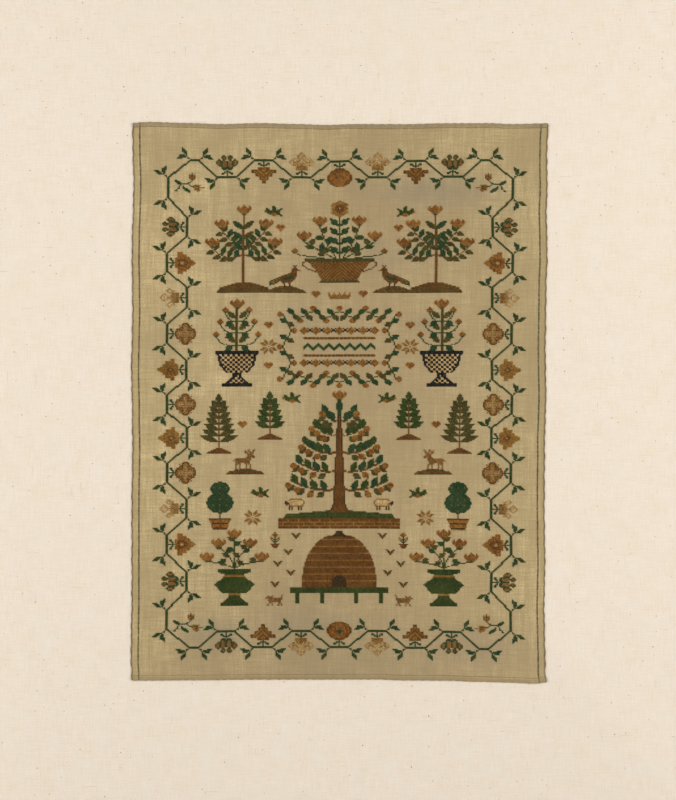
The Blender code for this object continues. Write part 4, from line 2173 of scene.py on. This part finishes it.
    def fir(self, column: int, bottom: int, tiers: int, silk: Silk) -> None:
        """Works a small fir on a thin stem: boughs in pairs, shorter towards the top.

        Args:
            column: The column of its stem.
            bottom: Its lowest row.
            tiers: How many pairs of boughs it has.
            silk: The boughs' silk.
        """
        height = 8 + tiers * 5
        self.line((column, bottom), (column, bottom + height + 3), Silk.BROWN)
        self.turned_shape(column, bottom, [(0, 9), (2, 6), (4, 2)], lambda a, u, h: Silk.BROWN)
        for tier in range(tiers):
            reach = 4 + (tiers - tier) * 1.4
            up = bottom + 10 + tier * 5
            for side in (-1, 1):
                self.leaf((column + side * 0.5, up), (side * (reach - 0.5), 5), 4.4, silk)
        self.leaf((column, bottom + height), (0, 8), 4.4, silk)

    def orange_tree(self) -> None:
        """Works a clipped tree in a hooped tub, its crown in two tiers with gold fruit."""

        def crown(across: int, up: int, half: int) -> Silk:
            """Picks gold for the fruit, which stand in rows, and teal for the leaves."""
            fruit = across % 5 == 0 and up % 5 == 2 and abs(across) < half - 1
            return Silk.GOLD if fruit else Silk.TEAL

        column, bottom = 91, -108
        tub = [(0, 5), (7, 7), (8, 8), (9, 8)]
        self.turned_shape(column, bottom, tub, lambda a, u, h: Silk.BARK if u % 4 == 1 else Silk.RUST)
        self.line((column, bottom + 10), (column, bottom + 34), Silk.BROWN)
        for low, radius in ((14, 9), (29, 6)):
            ball = [(up, math.sqrt(up * (2 * radius - up)) + 0.6) for up in range(2 * radius + 1)]
            self.turned_shape(column, bottom + low, ball, crown)

    def skep(self) -> None:
        """Works a straw bee skep on a bench, coiled in brown and gold, with bees about it."""

        def straw(across: int, up: int, half: int) -> Silk:
            """Picks bark for the doorway, gold for each coil's edge and brown for the rest."""
            coil = Silk.GOLD if up % 6 == 5 else Silk.BROWN
            return Silk.BARK if across ** 2 + max(up - 4, 0) ** 2 < 30 else coil

        bottom = -172
        self.block(0, 37, bottom + 9, bottom + 12, Silk.GREEN)
        self.block(0, 37, bottom + 13, bottom + 13, Silk.OLIVE)
        for leg in (12, 31):
            self.block(leg, leg + 2, bottom, bottom + 8, Silk.GREEN)
        dome = [(up, 28 * math.sqrt(max(1 - (up / 46) ** 2.3, 0))) for up in range(45)]
        self.turned_shape(0, bottom + 14, dome, straw)
        self.turned_shape(0, bottom + 58, [(0, 5), (2, 3), (4, 2)], lambda a, u, h: Silk.BARK)
        for column, row in ((34, 24), (44, 32), (36, 42), (30, 56), (46, 14)):
            self.stamp(BEE, column, bottom + row)

    def urn(self) -> None:
        """Works a round-bodied green urn with gold collars, holding carnations."""
        column, bottom = 80, -174
        profile = [
            (0, 10), (2, 10), (3, 8), (7, 4), (10, 4), (11, 9),
            (18, 15), (24, 8), (27, 7), (29, 12), (31, 12),
        ]
        self.turned_shape(
            column, bottom, profile, lambda a, u, h: Silk.GOLD if u in (9, 10, 25, 26) else Silk.GREEN
        )
        top = bottom + 32
        for across, up in ((0, 26), (-12, 18), (12, 18), (-21, 6), (21, 6)):
            end = (column + across, top + up)
            points = self.bend((column, top), (column + across * 0.3, top + up * 0.8), end, Silk.GREEN)
            for step, side in ((6, 1), (9, -1), (12, 1)):
                self.leaf(points[step], (side * 5, 3), 3.4, Silk.OLIVE if side > 0 else Silk.TEAL)
            self.stamp(SMALL_CARNATION, *end)


# ---------------------------------------------------------------- the stitching


@dataclass(frozen=True)
class StitchWork:
    """Turns charts into silk: where each stitch of a chart lies on the cloth."""

    lay: ClothLay
    cloth_thickness: float
    column_pitch: float = 0.996 * MM
    row_pitch: float = 0.879 * MM
    origin: Place = (0.3 * MM, -1.6 * MM)
    thread: float = 0.9 * MM
    overlap: float = 1.1
    arch: float = 0.1 * MM

    def build(self, name: str, chart: Chart, stitches: StitchTree) -> list[Object]:
        """Works one chart, a piece for each silk in it.

        Args:
            name: The start of the pieces' names.
            chart: The chart.
            stitches: The tree that works the stitches.

        Returns:
            The finished pieces.
        """
        pieces = []
        reach = (self.overlap * self.column_pitch / 2, self.overlap * self.row_pitch / 2, 0.0)
        for silk in Silk:
            cells = sorted(cell for cell, worked in chart.stitches.items() if worked is silk)
            if not cells:
                continue
            columns, rows = np.array(cells, dtype=float).T
            right = self.origin[0] + columns * self.column_pitch
            up = self.origin[1] + rows * self.row_pitch
            pieces.append(stitches.work(
                f"{name}_{silk.name.lower()}", self.lay.points(right, up, self.cloth_thickness),
                self.lay.normals(right, up), silk.finish(), Crossed=True, Reach=reach,
                Radius=self.thread / 2, Arch=self.arch,
            ))
        return pieces


# ---------------------------------------------------------------- the studio


@dataclass(frozen=True)
class SoftLight:
    """A square soft light that faces the middle of the mount. Its power is in watts."""

    name: str
    place: tuple[float, float, float]
    power: float
    side: float = 1.1
    colour: str = "fffdfa"

    def build(self) -> None:
        """Adds the light to the scene."""
        data = bpy.data.lights.new(self.name, "AREA")
        data.size = self.side
        data.energy = self.power
        data.color = linear(self.colour)[:3]
        light = bpy.data.objects.new(self.name, data)
        light.location = self.place
        light.rotation_euler = (-light.location).to_track_quat("-Z", "Y").to_euler()
        bpy.context.scene.collection.objects.link(light)


@dataclass(frozen=True)
class Studio:
    """A plain pale table, soft light from two sides, and a camera that looks straight down."""

    lights: tuple[SoftLight, ...] = (
        SoftLight("left_light", (-1.5, 0.1, 1.3), 25.0),
        SoftLight("right_light", (1.5, 0.25, 1.3), 27.5),
    )
    view_height: float = 608 * MM
    lens: float = 200.0
    face_height: float = 7.6 * MM
    table_size: float = 3.2
    table_drop: float = 0.2 * MM
    sky_colour: str = "ffffff"
    sky_strength: float = 0.4

    def build_table(self) -> None:
        """Lays the table top just clear of the mount's turned-in cloth, so the two never share a plane."""
        half, top = self.table_size / 2, -self.table_drop
        mesh = bpy.data.meshes.new("table_top")
        rim = [(-half, -half, top), (half, -half, top), (half, half, top), (-half, half, top)]
        mesh.from_pydata(rim, [], [(0, 1, 2, 3)])
        mesh.materials.append(FLOOR_FINISH.material())
        show(mesh, "table_top")

    def build(self) -> None:
        """Builds the table, the lights, the sky and the camera."""
        self.build_table()
        for light in self.lights:
            light.build()
        scene = bpy.context.scene
        scene.world = bpy.data.worlds.new("studio_sky")
        scene.world.use_nodes = True
        sky = scene.world.node_tree
        values = {"Color": linear(self.sky_colour), "Strength": self.sky_strength}
        feed(sky, sky.nodes["Background"], values)
        scene.view_settings.view_transform = "Standard"
        data = bpy.data.cameras.new("overhead_camera")
        data.lens = self.lens
        camera = bpy.data.objects.new("overhead_camera", data)
        away = self.view_height * self.lens / data.sensor_width
        camera.location = (0, 0, self.face_height + away)
        scene.collection.objects.link(camera)
        scene.camera = camera


def main() -> None:
    """Builds every sub-assembly in order."""
    logging.basicConfig(level=logging.INFO, format="%(message)s")
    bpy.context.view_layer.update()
    cloth_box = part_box("sampler_cloth")
    # The flecks run a little way under the sampler's edges, which stray
    margin = Vector((3 * MM, 3 * MM, 0))
    Mount(*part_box("mount_cover")).build(frame["nodes"], (cloth_box[0] + margin, cloth_box[1] - margin))
    log.info("mount dressed")

    lay = ClothLay(seat=cloth_box[0].z)
    stitches = StitchTree()
    ground = GroundCloth(lay)
    cloth, *edgings = ground.build(stitches)
    log.info("ground cloth laid")

    border, interior = BorderVine(), Interior()
    border.work()
    interior.work()
    needle = StitchWork(lay, ground.thickness)
    silks = needle.build("border", border, stitches) + needle.build("motifs", interior, stitches)
    log.info("%d stitches worked", len(border.stitches) + len(interior.stitches))

    Studio().build()


if __name__ == "__main__":
    main()
